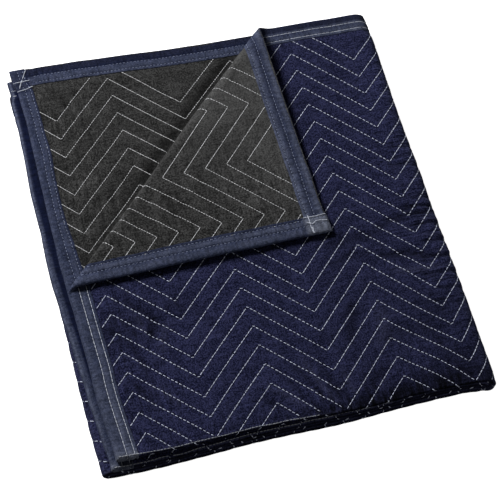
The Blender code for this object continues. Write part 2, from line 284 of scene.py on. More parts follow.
def bend_radius(along):
    """The radius of the turned corner's bend, along its crest."""
    return BEND_RADIUS_FAR + RADIUS_SLOPE * along


def turn_corner(x, y, w):
    """The top ply past the crest: bent up and over, slipped a little along the crest, and settled."""
    along, across = crest_place(x, y)
    radius = bend_radius(along)
    past = across + radius
    angle = np.clip(past / radius, 0.0, math.pi)
    rest = past - angle * radius
    drop = np.maximum(2 * radius - SETTLED_HEIGHT, 0.0) * smooth(0.0, CORNER_SETTLE, rest)
    turned = -radius + (radius - w) * np.sin(angle) - rest
    height = radius - (radius - w) * np.cos(angle) - drop
    slipped = along + CORNER_SHEAR * past
    over = past > 0
    drift = smooth(0.0, CORNER_SETTLE, rest)
    new_x = CREST_FAR[0] + slipped * CREST_ALONG[0] + turned * CREST_ACROSS[0] + CORNER_DRIFT[0] * drift
    new_y = CREST_FAR[1] + slipped * CREST_ALONG[1] + turned * CREST_ACROSS[1] + CORNER_DRIFT[1] * drift
    return np.where(over, new_x, x), np.where(over, new_y, y), np.where(over, height, w)


def settle(x, y, z, layer):
    """The small unevenness of a stack folded by hand: layer is the height of the pair's middle there."""
    left, right = smooth(*LEFT, x), smooth(*RIGHT, x)
    far, front = smooth(*FAR, y), smooth(*FRONT, y)
    low = 1.0 - smooth(LAYER_Z["C"], LAYER_Z["A"], layer)
    lower_fold = LOWER_FOLD_SPREAD * smooth(*LOWER_FOLD_RANGE, y)
    lower_fold = lower_fold + LOWER_FOLD_FRONT * smooth(*LOWER_FOLD_FRONT_RANGE, y)
    upper_end = UPPER_END_FAR_IN * smooth(*UPPER_END_FAR_RANGE, y) - UPPER_END_BOW
    upper_end = upper_end + UPPER_END_FRONT_IN * smooth(*UPPER_END_FRONT_RANGE, y)
    new_x = x - left * lower_fold * low + left * upper_end * (1.0 - low)
    new_x = new_x + right * front * RIGHT_LEAN * (0.5 - smooth(LAYER_Z["D"], LAYER_Z["A"], layer))
    new_x = new_x + right * far * FAR_RIGHT_SPREAD
    new_y = y + LOWER_TURN * x * low - far * left * LOWER_CORNER_SHORT * low
    new_y = new_y + far * SECOND_PLY_REACH * smooth(*SECOND_PLY_REACH_RANGE, x) * (1.0 - low)
    new_y = new_y - front * FOOT_CORNER * smooth(*FOOT_CORNER_RANGE, x) * low
    new_y = new_y - front * FRONT_WAVE * np.sin(math.tau * x / FRONT_WAVE_LENGTH)
    top_pair = np.clip(1.0 - np.abs(layer - LAYER_Z["A"]) / PAIR_PITCH, 0.0, 1.0)
    second_pair = np.clip(1.0 - np.abs(layer - LAYER_Z["B"]) / PAIR_PITCH, 0.0, 1.0)
    tab = CORNER_TAB_OUT * smooth(*CORNER_TAB_RANGE, y)
    out = SECOND_PAIR_OUT * smooth(*SECOND_PAIR_OUT_RANGE, y) - tab
    out = out - SECOND_PAIR_IN * sum(smooth(*stretch, y) for stretch in SECOND_PAIR_IN_RANGES)
    out = out + SECOND_PAIR_WANDER * uneven(y, y * 0, 17 * MM, 15)
    tucked = TOP_PAIR_IN * smooth(*TOP_PAIR_IN_RANGE, y)
    tucked = tucked * (1.0 - TOP_PAIR_OUT_SHARE * smooth(*TOP_PAIR_OUT_RANGE, y)) - tab
    new_x = new_x - left * second_pair * out + left * top_pair * tucked
    new_y = new_y - front * second_pair * SECOND_NOSE * (1.0 - smooth(*SECOND_NOSE_RANGE, x))
    crown = CROWN * np.cos(math.pi * x / CROWN_SPAN[0]) * np.cos(math.pi * y / CROWN_SPAN[1])
    return new_x - BOX_CENTRE[0], new_y - BOX_CENTRE[1], z * (1.0 + crown)


def wave(x, y, amount, lump, seed):
    """Soft unevenness of this amount, in lumps of about this size."""
    return amount * uneven(x, y, lump, seed)


def lie(x, y, z):
    """Slight waves through the whole stack, none of them under the floor."""
    rise = 1.0 + sum(wave(x, y, *waves) for waves in RISE_WAVES)
    new_x, new_y = x + wave(y, z * 2, *SIDE_WAVE), y + wave(x, z * 2, *DEPTH_WAVE)
    return new_x, new_y, np.maximum(z * rise, LOWEST)


def fold(u, v, w):
    """Carry points of the flat blanket to their places in the folded stack."""
    u, v, w = (np.asarray(value, float) for value in (u, v, w))
    middle_x, middle_z, out_x, out_z = route_point(u)
    y, height = ply_point(v, w)
    x, z = middle_x + height * out_x, middle_z + height * out_z
    top = (u < LAYER_A) & (v < TOP_PLY)
    turned_x, turned_y, over = turn_corner(middle_x, y, w)
    x, y = np.where(top, turned_x, x), np.where(top, turned_y, y)
    z = np.where(top, middle_z + HALF_PITCH + over, z)
    return np.stack(lie(*settle(x, y, z, middle_z)), axis=-1)


# --- Materials ------------------------------------------------------------------------------------
class Wire:
    """An output in a material's node tree, on which sums are written as in Python."""

    def __init__(self, finish, socket):
        self.finish, self.socket = finish, socket

    def _sum(self, operation, first, second):
        return self.finish.node("ShaderNodeMath", {"operation": operation}, {0: first, 1: second})

    def __add__(self, other):
        return self._sum("ADD", self, other)

    def __sub__(self, other):
        return self._sum("SUBTRACT", self, other)

    def __rsub__(self, other):
        return self._sum("SUBTRACT", other, self)

    def __mul__(self, other):
        return self._sum("MULTIPLY", self, other)

    __radd__, __rmul__ = __add__, __mul__


class Finish:
    """A material under construction, with one method for any node."""

    def __init__(self, name, roughness, sheen=0.0, sheen_tint=(1.0, 1.0, 1.0), gloss=0.05):
        self.material = bpy.data.materials.new(name)
        self.material.use_nodes = True
        self.tree = self.material.node_tree
        self.shader = self.tree.nodes["Principled BSDF"]
        self.shader.inputs["Roughness"].default_value = roughness
        self.shader.inputs["Sheen Weight"].default_value = sheen
        self.shader.inputs["Sheen Roughness"].default_value = 0.5
        self.shader.inputs["Sheen Tint"].default_value = (*sheen_tint, 1.0)
        self.shader.inputs["Specular IOR Level"].default_value = gloss

    def feed(self, socket, value):
        if isinstance(value, Wire):
            self.tree.links.new(value.socket, socket)
        elif socket.type == "RGBA":
            socket.default_value = (*value, 1.0)
        else:
            socket.default_value = value

    def node(self, kind, settings=None, inputs=None, output=0):
        made = self.tree.nodes.new(kind)
        for name, value in (settings or {}).items():
            setattr(made, name, value)
        for name, value in (inputs or {}).items():
            self.feed(made.inputs[name], value)
        return Wire(self, made.outputs[output])

    def flat_place(self):
        return self.node("ShaderNodeUVMap", {"uv_map": "flat"})

    def noise(self, place, scale, detail=2.0, roughness=0.5):
        sockets = {"Vector": place, "Scale": scale, "Detail": detail, "Roughness": roughness}
        return self.node("ShaderNodeTexNoise", {"noise_dimensions": "3D"}, sockets)

    def streaks(self, place, along, across, detail=1.0, roughness=0.5):
        """Noise with its own scale each way of the cloth."""
        stretched = self.node("ShaderNodeMapping", {}, {"Vector": place, "Scale": (along, across, 1.0)})
        return self.noise(stretched, 1.0, detail, roughness)

    def span(self, value, low, high, to_low=0.0, to_high=1.0):
        sockets = {"Value": value, "From Min": low, "From Max": high, "To Min": to_low, "To Max": to_high}
        return self.node("ShaderNodeMapRange", {"interpolation_type": "SMOOTHSTEP"}, sockets)

    def mix(self, share, first, second):
        return self.node("ShaderNodeMix", {"data_type": "RGBA"}, {0: share, 6: first, 7: second}, 2)

    def scaled(self, colour, factor):
        return self.node("ShaderNodeVectorMath", {"operation": "SCALE"}, {"Vector": colour, "Scale": factor})

    def attribute(self, name):
        return self.node("ShaderNodeAttribute", {"attribute_name": name}, {}, "Fac")

    def bump(self, height, distance, strength=1.0, normal=None):
        sockets = {"Height": height, "Distance": distance, "Strength": strength}
        if normal is not None:
            sockets["Normal"] = normal
        return self.node("ShaderNodeBump", {}, sockets)

    def finished(self, **inputs):
        for name, value in inputs.items():
            self.feed(self.shader.inputs[name.replace("_", " ")], value)
        return self.material


def brushed_cloth(name, deep, pale, highlight_colour, sheen_tint):
    """Non-woven quilt cloth: mottled fibres, a little darker in the furrows as painted shade, and paler with
    painted highlights.
    """
    finish = Finish(name, 0.92, sheen=0.14, sheen_tint=sheen_tint)
    place = finish.flat_place()
    clouds = finish.noise(place, 55.0, 3.0, 0.6)
    mottling = finish.noise(place, 160.0, 2.0, 0.5)
    tufts = finish.streaks(place, 520.0, 430.0)
    fibres = finish.streaks(place, 880.0, 760.0)
    row = finish.node("ShaderNodeUVMap", {"uv_map": "quilt"})
    across_row = finish.node("ShaderNodeSeparateXYZ", {}, {"Vector": row})
    from_thread = finish.node("ShaderNodeMath", {"operation": "PINGPONG"}, {0: across_row, 1: 0.5})
    furrow = finish.span(from_thread, 0.0, 0.11, 1.0, 0.0)
    tone = finish.span(clouds * 0.14 + mottling * 0.14 + tufts * 0.34 + fibres * 0.38, 0.43, 0.57)
    colour = finish.mix(tone, deep, pale)
    nap = fibres * 0.4 + tufts * 0.6
    # Painted highlight: the cloth turns to its highlight colour where the attribute says, unevenly with the
    # nap.
    highlight_and_wear = finish.attribute("highlight_and_wear") * finish.span(nap, 0.30, 0.65, 0.4, 1.0)
    colour = finish.mix(highlight_and_wear, colour, highlight_colour)
    # Fine gathers run along the cloth where it is drawn in by a fold, and across it beside an end's binding.
    along = finish.streaks(place, 42.0, 205.0, 2.0) - 0.5
    across = finish.streaks(place, 205.0, 42.0, 2.0) - 0.5
    gathers = along * finish.attribute("gathered_along") + across * finish.attribute("gathered_across")
    # Painted shade and light: the gathers darken and lighten the colour as well as bumping it, and the
    # painted shade attribute darkens it, or lightens it below zero.
    shade = 1.0 + gathers * 2.6 - finish.attribute("painted_shade") * 0.55
    # Painted shade in the furrows along the stitching.
    colour = finish.scaled(colour, shade * (1.0 - furrow * 0.45))
    normal = finish.bump(mottling * 0.6 + clouds, 2.2 * MM, 0.8)
    normal = finish.bump(gathers, 5.0 * MM, 1.0, normal)
    normal = finish.bump(nap, 1.4 * MM, 1.0, normal)
    dullness = finish.span(fibres, 0.3, 0.7, 0.85, 0.98)
    return finish.finished(Base_Color=colour, Normal=normal, Roughness=dullness)


def binding_tape():
    """Slate tape: pale with wear and painted highlights, dark along its seams and with painted shade, and
    dark with painted shade on its outer part at the far edges.
    """
    finish = Finish("slate binding", 0.9, sheen=0.05, sheen_tint=(0.75, 0.8, 1.0))
    place = finish.flat_place()
    clouds = finish.noise(place, 70.0, 3.0, 0.6)
    tufts = finish.streaks(place, 420.0, 520.0, 2.0, 0.6)
    fibres = finish.streaks(place, 900.0, 1150.0)
    tone = finish.span(clouds * 0.2 + tufts * 0.4 + fibres * 0.4, 0.40, 0.60)
    worn = finish.span(clouds * 0.3 + tufts * 0.4 + fibres * 0.3, 0.40, 0.58, 0.5, 1.0)
    colour = finish.mix(tone, (0.018, 0.025, 0.053), (0.058, 0.068, 0.120))
    # Pale with wear and painted highlights.
    colour = finish.mix(finish.attribute("highlight_and_wear") * worn, colour, (0.128, 0.145, 0.215))
    # Painted shade on the tape's outer part at the far edges.
    under = finish.mix(tone, (0.004, 0.006, 0.018), (0.022, 0.026, 0.056))
    colour = finish.mix(finish.attribute("turned_under"), colour, under)
    # A pale tab: painted light on the ends' noses at the front fold, and a pale tip at the turned corner.
    colour = finish.mix(finish.attribute("tab") * worn, colour, (0.165, 0.180, 0.225))
    # Dark seams, and painted shade in the rows' grooves, in the tape's valleys and under the edge of the tape
    # above.
    colour = finish.mix(finish.attribute("seam_and_shade"), colour, (0.0055, 0.0085, 0.030))
    puckers = finish.streaks(place, 240.0, 90.0, 3.0, 0.6)
    colour = finish.scaled(colour, finish.span(puckers, 0.3, 0.7, 0.70, 1.30))
    normal = finish.bump(puckers, 2.2 * MM, 0.8)
    normal = finish.bump(fibres * 0.4 + tufts * 0.6, 1.2 * MM, 0.9, normal)
    return finish.finished(Base_Color=colour, Normal=normal)


def quilting_thread(name, colour):
    """Spun thread, unevenly worn to a fifth darker than its colour."""
    finish = Finish(name, 0.6, sheen=0.2)
    patchiness = finish.noise(finish.node("ShaderNodeTexCoord", {}, {}, "Object"), 240.0)
    worn = tuple(part * 0.8 for part in colour)
    return finish.finished(Base_Color=finish.mix(finish.span(patchiness, 0.35, 0.65), worn, colour))


# Each cloth's third colour is its painted highlight.
FACE_FINISH = brushed_cloth("navy face cloth", (0.0030, 0.0040, 0.0175), (0.0340, 0.0370, 0.095),
                            (0.080, 0.084, 0.150), (0.45, 0.5, 1.0))
BACK_FINISH = brushed_cloth("charcoal back cloth", (0.009, 0.009, 0.009), (0.062, 0.062, 0.062),
                            (0.105, 0.105, 0.105), (1.0, 1.0, 1.0))
BINDING_FINISH = binding_tape()
FACE_THREAD = quilting_thread("pale thread on navy", (0.75, 0.80, 1.0))
BACK_THREAD = quilting_thread("pale thread on charcoal", (0.90, 0.91, 0.94))
PALE_TAPE_THREAD = quilting_thread("pale thread on binding", (0.72, 0.76, 0.88))
BLUE_TAPE_THREAD = quilting_thread("blue grey thread on binding", (0.27, 0.31, 0.44))
RIM_THREAD = quilting_thread("grey thread along the folds", (0.42, 0.44, 0.50))


# --- Making pieces --------------------------------------------------------------------------------
# The nets: how far they stay from the edges, the least gap between two breaks, where the double fold's
# gathers lie along v, how far the back shows along u, and how far from an end a turn has to be to get a line.
MARGIN = 0.9 * MM
SMALLEST_GAP = 0.2 * MM
GATHERS = (255.0 * MM, 425.0 * MM)
BACK_SHOWS = 345.0 * MM
TURNS_FROM_END = 40.0 * MM


def spaced_lines(breaks, spacings):
    """Lines at all the breaks, and between them as close, in mm, as the table says up to each place."""
    breaks = sorted(breaks)
    lines = [breaks[0]]
    for start, end in zip(breaks[:-1], breaks[1:]):
        if end - start < SMALLEST_GAP:
            continue
        spacing = next(close for place, close in spacings if (start + end) / 2 < place) * MM
        steps = max(1, math.ceil((end - start) / spacing - 0.3))
        lines += [start + (end - start) * step / steps for step in range(1, steps + 1)]
    return np.array(lines)


def add_piece(name, places, triangles, flat, material, quilt=None, shares=None):
    """A smooth mesh with its place on the flat cloth as a UV map, and shares from 0 to 1 as attributes."""
    mesh = bpy.data.meshes.new(name)
    mesh.from_pydata(np.asarray(places).tolist(), [], np.asarray(triangles).tolist())
    corners = np.zeros(len(mesh.loops), int)
    mesh.loops.foreach_get("vertex_index", corners)
    for map_name, values in (("flat", flat), ("quilt", quilt)):
        if values is not None:
            layer = mesh.uv_layers.new(name=map_name)
            layer.data.foreach_set("uv", np.asarray(values, float)[corners].ravel())
    for share_name, values in (shares or {}).items():
        attribute = mesh.attributes.new(share_name, "FLOAT", "POINT")
        attribute.data.foreach_set("value", np.asarray(values, float).ravel())
    mesh.materials.append(material)
    mesh.shade_smooth()
    piece = bpy.data.objects.new(name, mesh)
    bpy.context.scene.collection.objects.link(piece)
    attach(piece, "root")
    return piece


def to_thread(u, v):
    """Distance from the nearest line of quilting."""
    row = quilt_row(u, v)
    line = np.clip(np.round(row), FIRST_LINE, LAST_LINE)
    return np.abs(row - line) * ROW_PITCH * LEG_COSINE


def from_crest(u, v):
    """How far a point of the top or second ply lies along the turned corner's crest, and past it."""
    y = np.where(v < TOP_PLY, TOP_PLY_FAR - v, FRONT_FOLD_Y + v - SECOND_PLY)
    return crest_place(STACK_LEFT + u, y)


def past_crest(u, v):
    """How far past the crest a point of the top or second ply lies."""
    return from_crest(u, v)[1]


def opened(u, v):
    """1 where nothing lies on the ply, so that its padding is full."""
    top = (u < WRAP_END) & (v < SECOND_PLY)
    second = (u < LAYER_A) & (v > SECOND_PLY) & (past_crest(u, v) > 0)
    return np.where(top | second, 1.0, 0.0)


# Soft ridges and troughs: from u, v to u, v, then half width and height, all in mm. The heights are then
# multiplied by the depth, and each crease bows by a share of its length, one way or the other, and wanders.
CREASE_DEPTH = 1.5
CREASE_BOWS = (-0.035, 0.060)
CREASE_WANDER = 1.6 * MM
FACE_CREASES = (
    # gathers across the double fold at the right
    (400, 262, 462, 270, 3.0, -0.6), (410, 284, 468, 288, 3.0, -0.9), (418, 297, 470, 302, 2.8, 0.6),
    (405, 306, 466, 314, 3.0, -0.8), (425, 320, 470, 325, 2.8, 0.7), (420, 330, 472, 334, 3.2, -1.1),
    (430, 342, 472, 345, 2.8, 0.7), (415, 352, 470, 354, 3.2, -1.0), (428, 364, 472, 368, 2.8, 0.6),
    (405, 374, 468, 380, 3.2, -0.9), (425, 392, 470, 396, 3.0, -0.6), (395, 486, 455, 476, 11.0, -0.7),
    (405, 190, 465, 196, 3.5, -0.5), (415, 225, 468, 230, 3.2, -0.6), (410, 440, 465, 446, 3.5, -0.5),
    # sags beside them
    (380, 300, 455, 291, 5.0, -1.2), (300, 312, 390, 300, 7.0, -0.9), (365, 338, 425, 350, 5.0, -1.6),
    (372, 358, 430, 366, 4.5, 0.9), (300, 338, 365, 332, 6.0, -0.8), (322, 385, 300, 440, 9.0, -1.1),
    (345, 400, 330, 450, 8.0, 0.8), (330, 470, 300, 505, 8.0, -0.9), (385, 430, 410, 470, 9.0, -0.9),
    # gathers from the middle of the front fold
    (252, 508, 222, 446, 3.5, -1.0), (264, 508, 238, 440, 3.5, 0.9), (238, 510, 205, 455, 3.2, -0.8),
    (275, 508, 257, 450, 4.0, -0.9), (226, 508, 190, 470, 3.5, 0.7), (286, 506, 280, 465, 3.5, 0.6),
    (205, 505, 170, 480, 4.0, -0.6),
    # hollows near the upper end's binding
    (50, 378, 62, 428, 4.0, -1.0), (76, 384, 88, 352, 7.0, -1.4), (62, 345, 73, 385, 4.0, 0.8),
    (97, 362, 84, 402, 5.0, 0.7), (45, 430, 62, 472, 4.0, -0.9), (56, 322, 80, 350, 4.0, -0.8),
    (112, 330, 122, 362, 4.5, -0.7), (68, 440, 92, 470, 4.0, 0.6), (130, 350, 150, 385, 5.0, -0.6),
)
BACK_CREASES = (
    # the second ply beside its binding
    (50, 990, 57, 948, 4.0, -1.0), (61, 990, 68, 948, 3.5, 0.7), (70, 950, 75, 903, 4.0, -0.9),
    (54, 920, 60, 880, 3.5, -0.7), (60, 850, 62, 800, 3.5, -0.9), (68, 845, 73, 798, 3.2, 0.8),
    (80, 870, 78, 815, 3.5, -0.9), (90, 850, 90, 800, 3.5, 0.6), (98, 880, 96, 840, 4.0, -0.6),
    (58, 795, 62, 765, 3.5, -0.8), (150, 985, 185, 960, 5.0, -0.6), (110, 930, 150, 900, 7.0, 0.5),
    # the turned corner near its crest and along its lower binding
    (94, 170, 48, 168, 3.5, -1.0), (97, 180, 50, 182, 3.2, 0.9), (100, 158, 60, 152, 3.5, -0.9),
    (92, 192, 52, 196, 3.5, -0.8), (110, 146, 70, 138, 4.0, 0.7), (118, 128, 82, 118, 4.5, -0.7),
    (75, 210, 40, 214, 3.5, -0.7), (160, 95, 130, 80, 5.0, -0.6), (150, 60, 110, 55, 6.0, 0.6),
    (220, 62, 262, 40, 5.0, -0.7), (180, 50, 150, 38, 4.0, -0.5),
)


def creases(table, u, v):
    """How far a table's creases raise the cloth."""
    raised = np.zeros(np.broadcast(u, v).shape)
    for number, (u0, v0, u1, v1, half_width, height) in enumerate(table):
        start, way = np.array((u0, v0)) * MM, np.array((u1 - u0, v1 - v0)) * MM
        length = math.hypot(*way)
        way = way / length
        along = (u - start[0]) * way[0] + (v - start[1]) * way[1]
        across = (u - start[0]) * way[1] - (v - start[1]) * way[0]
        share = along / length
        across = across + CREASE_BOWS[number % 2] * length * ((2 * share - 1) ** 2 - 1)
        across = across + CREASE_WANDER * uneven(along, along * 0 + number * 0.07, 13 * MM, 51)
        taper = smooth(-0.15, 0.3, share) * (1.0 - smooth(0.7, 1.15, share))
        raised = raised + height * MM * ridge(across, 0.0, half_width * MM) * taper
    return raised


def crease_height(u, v, side):
    """The creases' height; they run out at the double fold and at the turned corner's crest."""
    if side > 0:
        table, fades = FACE_CREASES, 1.0 - smooth(446 * MM, 462 * MM, u)
    else:
        table, fades = BACK_CREASES, smooth(8 * MM, 20 * MM, np.abs(past_crest(u, v)))
    return CREASE_DEPTH * opened(u, v) * creases(table, u, v) * fades


# The cloth's height over the middle of the ply: at a line of stitching, there where the double fold draws it
# tight, halfway between two lines, and how much more where nothing lies on it. Then how far from a line it
# has mostly risen, and how far it sinks at the front fold.
FURROW = 1.50 * MM
TIGHT_FURROW = 1.90 * MM
SWELL = 2.15 * MM
OPEN_SWELL = 0.25 * MM
SWELL_WIDTH = 3.0 * MM
FRONT_FOLD_SINKS = 1.3 * MM


def cloth_height(u, v, side):
    """How far the cloth stands from the middle of the ply: pressed in at the stitching and the binding."""
    is_open = opened(u, v)
    drawn_tight = smooth(425 * MM, 450 * MM, u) * (u < WRAP_END) * (v < TOP_PLY)
    furrow = FURROW + (TIGHT_FURROW - FURROW) * drawn_tight
    full = SWELL + OPEN_SWELL * is_open + 0.15 * MM * uneven(u, v, 21 * MM, 21)
    swell = 1.0 - np.exp(-((to_thread(u, v) / SWELL_WIDTH) ** 1.15))
    lumps = 0.20 * uneven(u, v, 9 * MM, 22) + 0.12 * uneven(u, v, 4.5 * MM, 23)
    lumps = is_open * swell * lumps * MM * smooth(6 * MM, 16 * MM, np.abs(past_crest(u, v)))
    height = furrow + (full - furrow) * swell + lumps + crease_height(u, v, side)
    if side > 0:
        sinks = FRONT_FOLD_SINKS * smooth(TOP_PLY - 16 * MM, TOP_PLY, v)
        height = height - (u < WRAP_END) * (v < SECOND_PLY) * sinks
    from_edge = np.minimum(np.minimum(u, LENGTH - u), np.minimum(v, WIDTH - v))
    share = np.clip((from_edge - PAD_RAMP[0]) / (PAD_RAMP[1] - PAD_RAMP[0]), 0.0, 1.0)
    return side * (UNDER_BINDING + (height - UNDER_BINDING) * share)


# --- Painted light and shade on the cloth ---------------------------------------------------------
# Soft patches of painted shade, and of painted light where the amount is below zero: middle u and v, half
# sizes, all in mm, and how much darker they are.
FACE_PATCHES = (
    (405, 506, 75, 24, 1.25), (285, 512, 95, 9, 1.2), (412, 412, 24, 18, 0.7), (355, 437, 26, 11, 0.7),
    (40, 362, 40, 22, 0.8), (100, 345, 60, 18, 0.25), (262, 305, 40, 12, 0.25), (440, 100, 35, 90, -0.50),
    (110, 420, 50, 40, -0.15), (200, 370, 70, 40, -0.12),
)
BACK_PATCHES = (
    (60, 978, 45, 22, 0.30), (110, 940, 60, 25, 0.15), (24, 120, 20, 40, -0.60), (95, 34, 45, 22, -0.50),
    (60, 75, 35, 30, -0.20), (150, 150, 35, 25, 0.25),
)
# How dark the painted shade and how pale the painted light gets, and how much the cloth is gathered
# everywhere.
DARKEST_PAINTED_SHADE = 1.7
PALEST_PAINTED_LIGHT = -0.6
LEAST_GATHERED = 0.22


def patches(table, u, v):
    """How much darker a table's patches of painted shade make the cloth."""
    return sum(dark * ridge(u, u0 * MM, half_u * MM) * ridge(v, v0 * MM, half_v * MM)
               for u0, v0, half_u, half_v, dark in table)


def fold_corner(u, v):
    """1 at the front right corner, where the double fold's cloth is painted a little paler than beside it, as
    painted light.
    """
    return ridge(u, 468 * MM, 13 * MM) * ridge(v, TOP_PLY + 7 * MM, 10 * MM)


def painted_crest_shadow(u, v):
    """1 on the second ply just where the turned corner's crest bulges over it: a painted shadow."""
    along, across = from_crest(u, v)
    shadow = ridge(across, 1.3 * bend_radius(along) + 2 * MM, 8.5 * MM)
    return shadow * (v > SECOND_PLY) * (u < LAYER_A) * (0.55 + 0.45 * smooth(-330 * MM, -220 * MM, along))


def painted_highlights(u, v):
    """1 on the folds' crests and on the turned corner, as painted highlights of raised fibres catching the
    light.
    """
    on_top = v < TOP_PLY
    front = ridge(v, TOP_PLY + 1.3 * MM, 0.9 * MM) + ridge(v, SECOND_PLY - 1.3 * MM, 0.9 * MM)
    front = front * (0.55 - 0.20 * smooth(250 * MM, 400 * MM, u) * (u < WRAP_END))
    along, across = from_crest(u, v)
    radius = bend_radius(along)
    crest = ridge(across, 0.35 * radius, 0.9 * radius) * (u < LAYER_A) * on_top
    lower_left = ridge(u, (LAYER_D + LOWER_FOLD_END) / 2, 6 * MM)
    right = ridge(u, 456 * MM, 8 * MM) * on_top
    patchiness = 0.55 + 0.45 * uneven(u, v, 16 * MM, 31)
    # Painted light over the turned corner past its crest, less towards its left end.
    nap = 0.52 * on_top * smooth(4 * MM, 16 * MM, across) * smooth(-300 * MM, -90 * MM, along)
    edges = front + fold_corner(u, v) + (0.85 * crest + 0.3 * lower_left + 0.55 * right) * patchiness
    return np.clip(edges + nap, 0.0, 1.0)


def face_shades(u, v):
    """Where the face is darker with painted shade, and where it is gathered along and across."""
    inside_front = (v > TOP_PLY + 2 * MM) * (v < SECOND_PLY - 2 * MM)
    # Painted shade: the patches and all of the front fold's face, less at the front right corner.
    dark = patches(FACE_PATCHES, u, v) + 1.5 * inside_front - 2.2 * fold_corner(u, v)
    along = smooth(375 * MM, 440 * MM, u) * (u < LAYER_D) * smooth(-60 * MM, 260 * MM, v)
    along = along * (1.0 - 0.8 * smooth(385 * MM, 440 * MM, v)) * (v < TOP_PLY)
    across = 0.6 * smooth(TOP_PLY - 70 * MM, TOP_PLY - 10 * MM, v) * (v < SECOND_PLY)
    across = across * smooth(60 * MM, 200 * MM, u) * (u < WRAP_END)
    return dark, along, across + 0.7 * (1.0 - smooth(40 * MM, 120 * MM, u))


def back_shades(u, v):
    """Where the back is darker with painted shade, in patches and beside the crest, and where it is gathered
    along and across.
    """
    dark = patches(BACK_PATCHES, u, v) + 1.25 * painted_crest_shadow(u, v)
    along = 0.8 * (1.0 - smooth(70 * MM, 150 * MM, u)) * (v < TOP_PLY)
    return dark, along, (1.0 - smooth(50 * MM, 120 * MM, u)) * (v > SECOND_PLY)


def cloth_shares(u, v, side):
    """Where the cloth gets painted highlights and painted shade, and where it is gathered along or across."""
    creased = crease_height(u, v, side) / MM
    # Painted highlight on the creases' ridges.
    highlight_and_wear = painted_highlights(u, v) + 0.22 * np.clip(creased, 0.0, 1.5)
    dark, along, across = face_shades(u, v) if side > 0 else back_shades(u, v)
    # Painted shade in the creases' troughs and the patches, with a little random tone.
    painted_shade = np.clip(-creased / 1.8, 0.0, 1.0) + dark + 0.16 * uneven(u, v, 34 * MM, 62)
    lumps = 0.6 + 0.4 * uneven(u, v, 30 * MM, 61)
    return {
        "highlight_and_wear": np.clip(highlight_and_wear, 0.0, 1.0),
        "painted_shade": np.clip(painted_shade, PALEST_PAINTED_LIGHT, DARKEST_PAINTED_SHADE),
        "gathered_along": along * lumps + LEAST_GATHERED,
        "gathered_across": across * lumps + LEAST_GATHERED,
    }


# --- Cloth sheets ---------------------------------------------------------------------------------
# How many strips the turned corner's bend is cut into, and how far from its middle the cuts reach.
BEND_CUTS = 10
CUT_REACH = 30.0 * MM


def crest_cuts():
    """Straight lines on the flat cloth along which the turned corner bends."""
    for step in range(BEND_CUTS + 1):
        ends = []
        for along in (0.0, -CREST_LENGTH):
            across = (math.pi * step / BEND_CUTS - 1.0) * bend_radius(along)
            x = CREST_FAR[0] + along * CREST_ALONG[0] + across * CREST_ACROSS[0]
            y = CREST_FAR[1] + along * CREST_ALONG[1] + across * CREST_ACROSS[1]
            ends.append((x - STACK_LEFT, TOP_PLY_FAR - y))
        yield ends


def cut_crest(flat_points, triangles):
    """Cut the flat mesh along the turned corner's bend."""
    bm = bmesh.new()
    verts = [bm.verts.new((u, v, 0.0)) for u, v in flat_points.tolist()]
    for corners in triangles.tolist():
        bm.faces.new([verts[corner] for corner in corners])
    (u0, v0), (u1, v1) = list(crest_cuts())[BEND_CUTS // 2]
    across = Vector((v1 - v0, u0 - u1, 0.0)).normalized()
    middles = [(face, face.calc_center_median()) for face in bm.faces]
    near = [face for face, middle in middles if middle.x < LAYER_A and middle.y < TOP_PLY
            and abs((middle - Vector((u0, v0, 0.0))).dot(across)) < CUT_REACH]
    for (u0, v0), (u1, v1) in crest_cuts():
        edges = {edge for face in near for edge in face.edges}
        corners = {vert for face in near for vert in face.verts}
        cut = bmesh.ops.bisect_plane(bm, geom=[*near, *edges, *corners], dist=0.02 * MM,
                                     plane_co=(u0, v0, 0.0), plane_no=(v1 - v0, u0 - u1, 0.0))
        near = [item for item in cut["geom"] if isinstance(item, bmesh.types.BMFace)]
    bmesh.ops.triangulate(bm, faces=[face for face in bm.faces if len(face.verts) > 3])
    bm.verts.index_update()
    points = np.array([vert.co[:2] for vert in bm.verts])
    made = np.array([[vert.index for vert in face.verts] for face in bm.faces])
    bm.free()
    return points, made


# How close the lines of each cloth's net are up to each place, in mm: fine where it shows and where it bends.
FACE_U_SPACINGS = ((LAYER_A, 2.7), (WRAP_END, 2.3), (LAYER_D, 6.0), (LOWER_FOLD_END, 1.9), (LAYER_C, 13.0),
                   (INNER_END, 2.6), (LENGTH, 13.0))
FACE_V_SPACINGS = ((GATHERS[0], 2.6), (GATHERS[1], 2.0), (TOP_PLY, 2.6), (SECOND_PLY, 0.8),
                   (SECOND_PLY + 2 * ROW_PITCH, 4.5), (WIDTH - PAD_RAMP[1], 15.0), (WIDTH, 4.5))
BACK_U_SPACINGS = ((BACK_SHOWS, 2.6), (LAYER_A, 14.0), (WRAP_END, 2.6), (LAYER_D, 14.0),
                   (LOWER_FOLD_END, 2.6), (LAYER_C, 14.0), (INNER_END, 2.6), (LENGTH, 14.0))
BACK_V_SPACINGS = ((320.0 * MM, 2.55), (TOP_PLY, 12.0), (SECOND_PLY, 1.3), (700.0 * MM, 12.0), (WIDTH, 2.55))


def net_breaks(end):
    """Where a net's lines have to lie between an edge of the cloth and the opposite one."""
    return [MARGIN, end - MARGIN, *PAD_RAMP, *(end - ramp for ramp in PAD_RAMP)]


def cell_corners(shape):
    """The corners of a grid's cells, as numbers of its points."""
    index = np.arange(shape[0] * shape[1]).reshape(shape)
    return index[:-1, :-1], index[1:, :-1], index[1:, 1:], index[:-1, 1:]


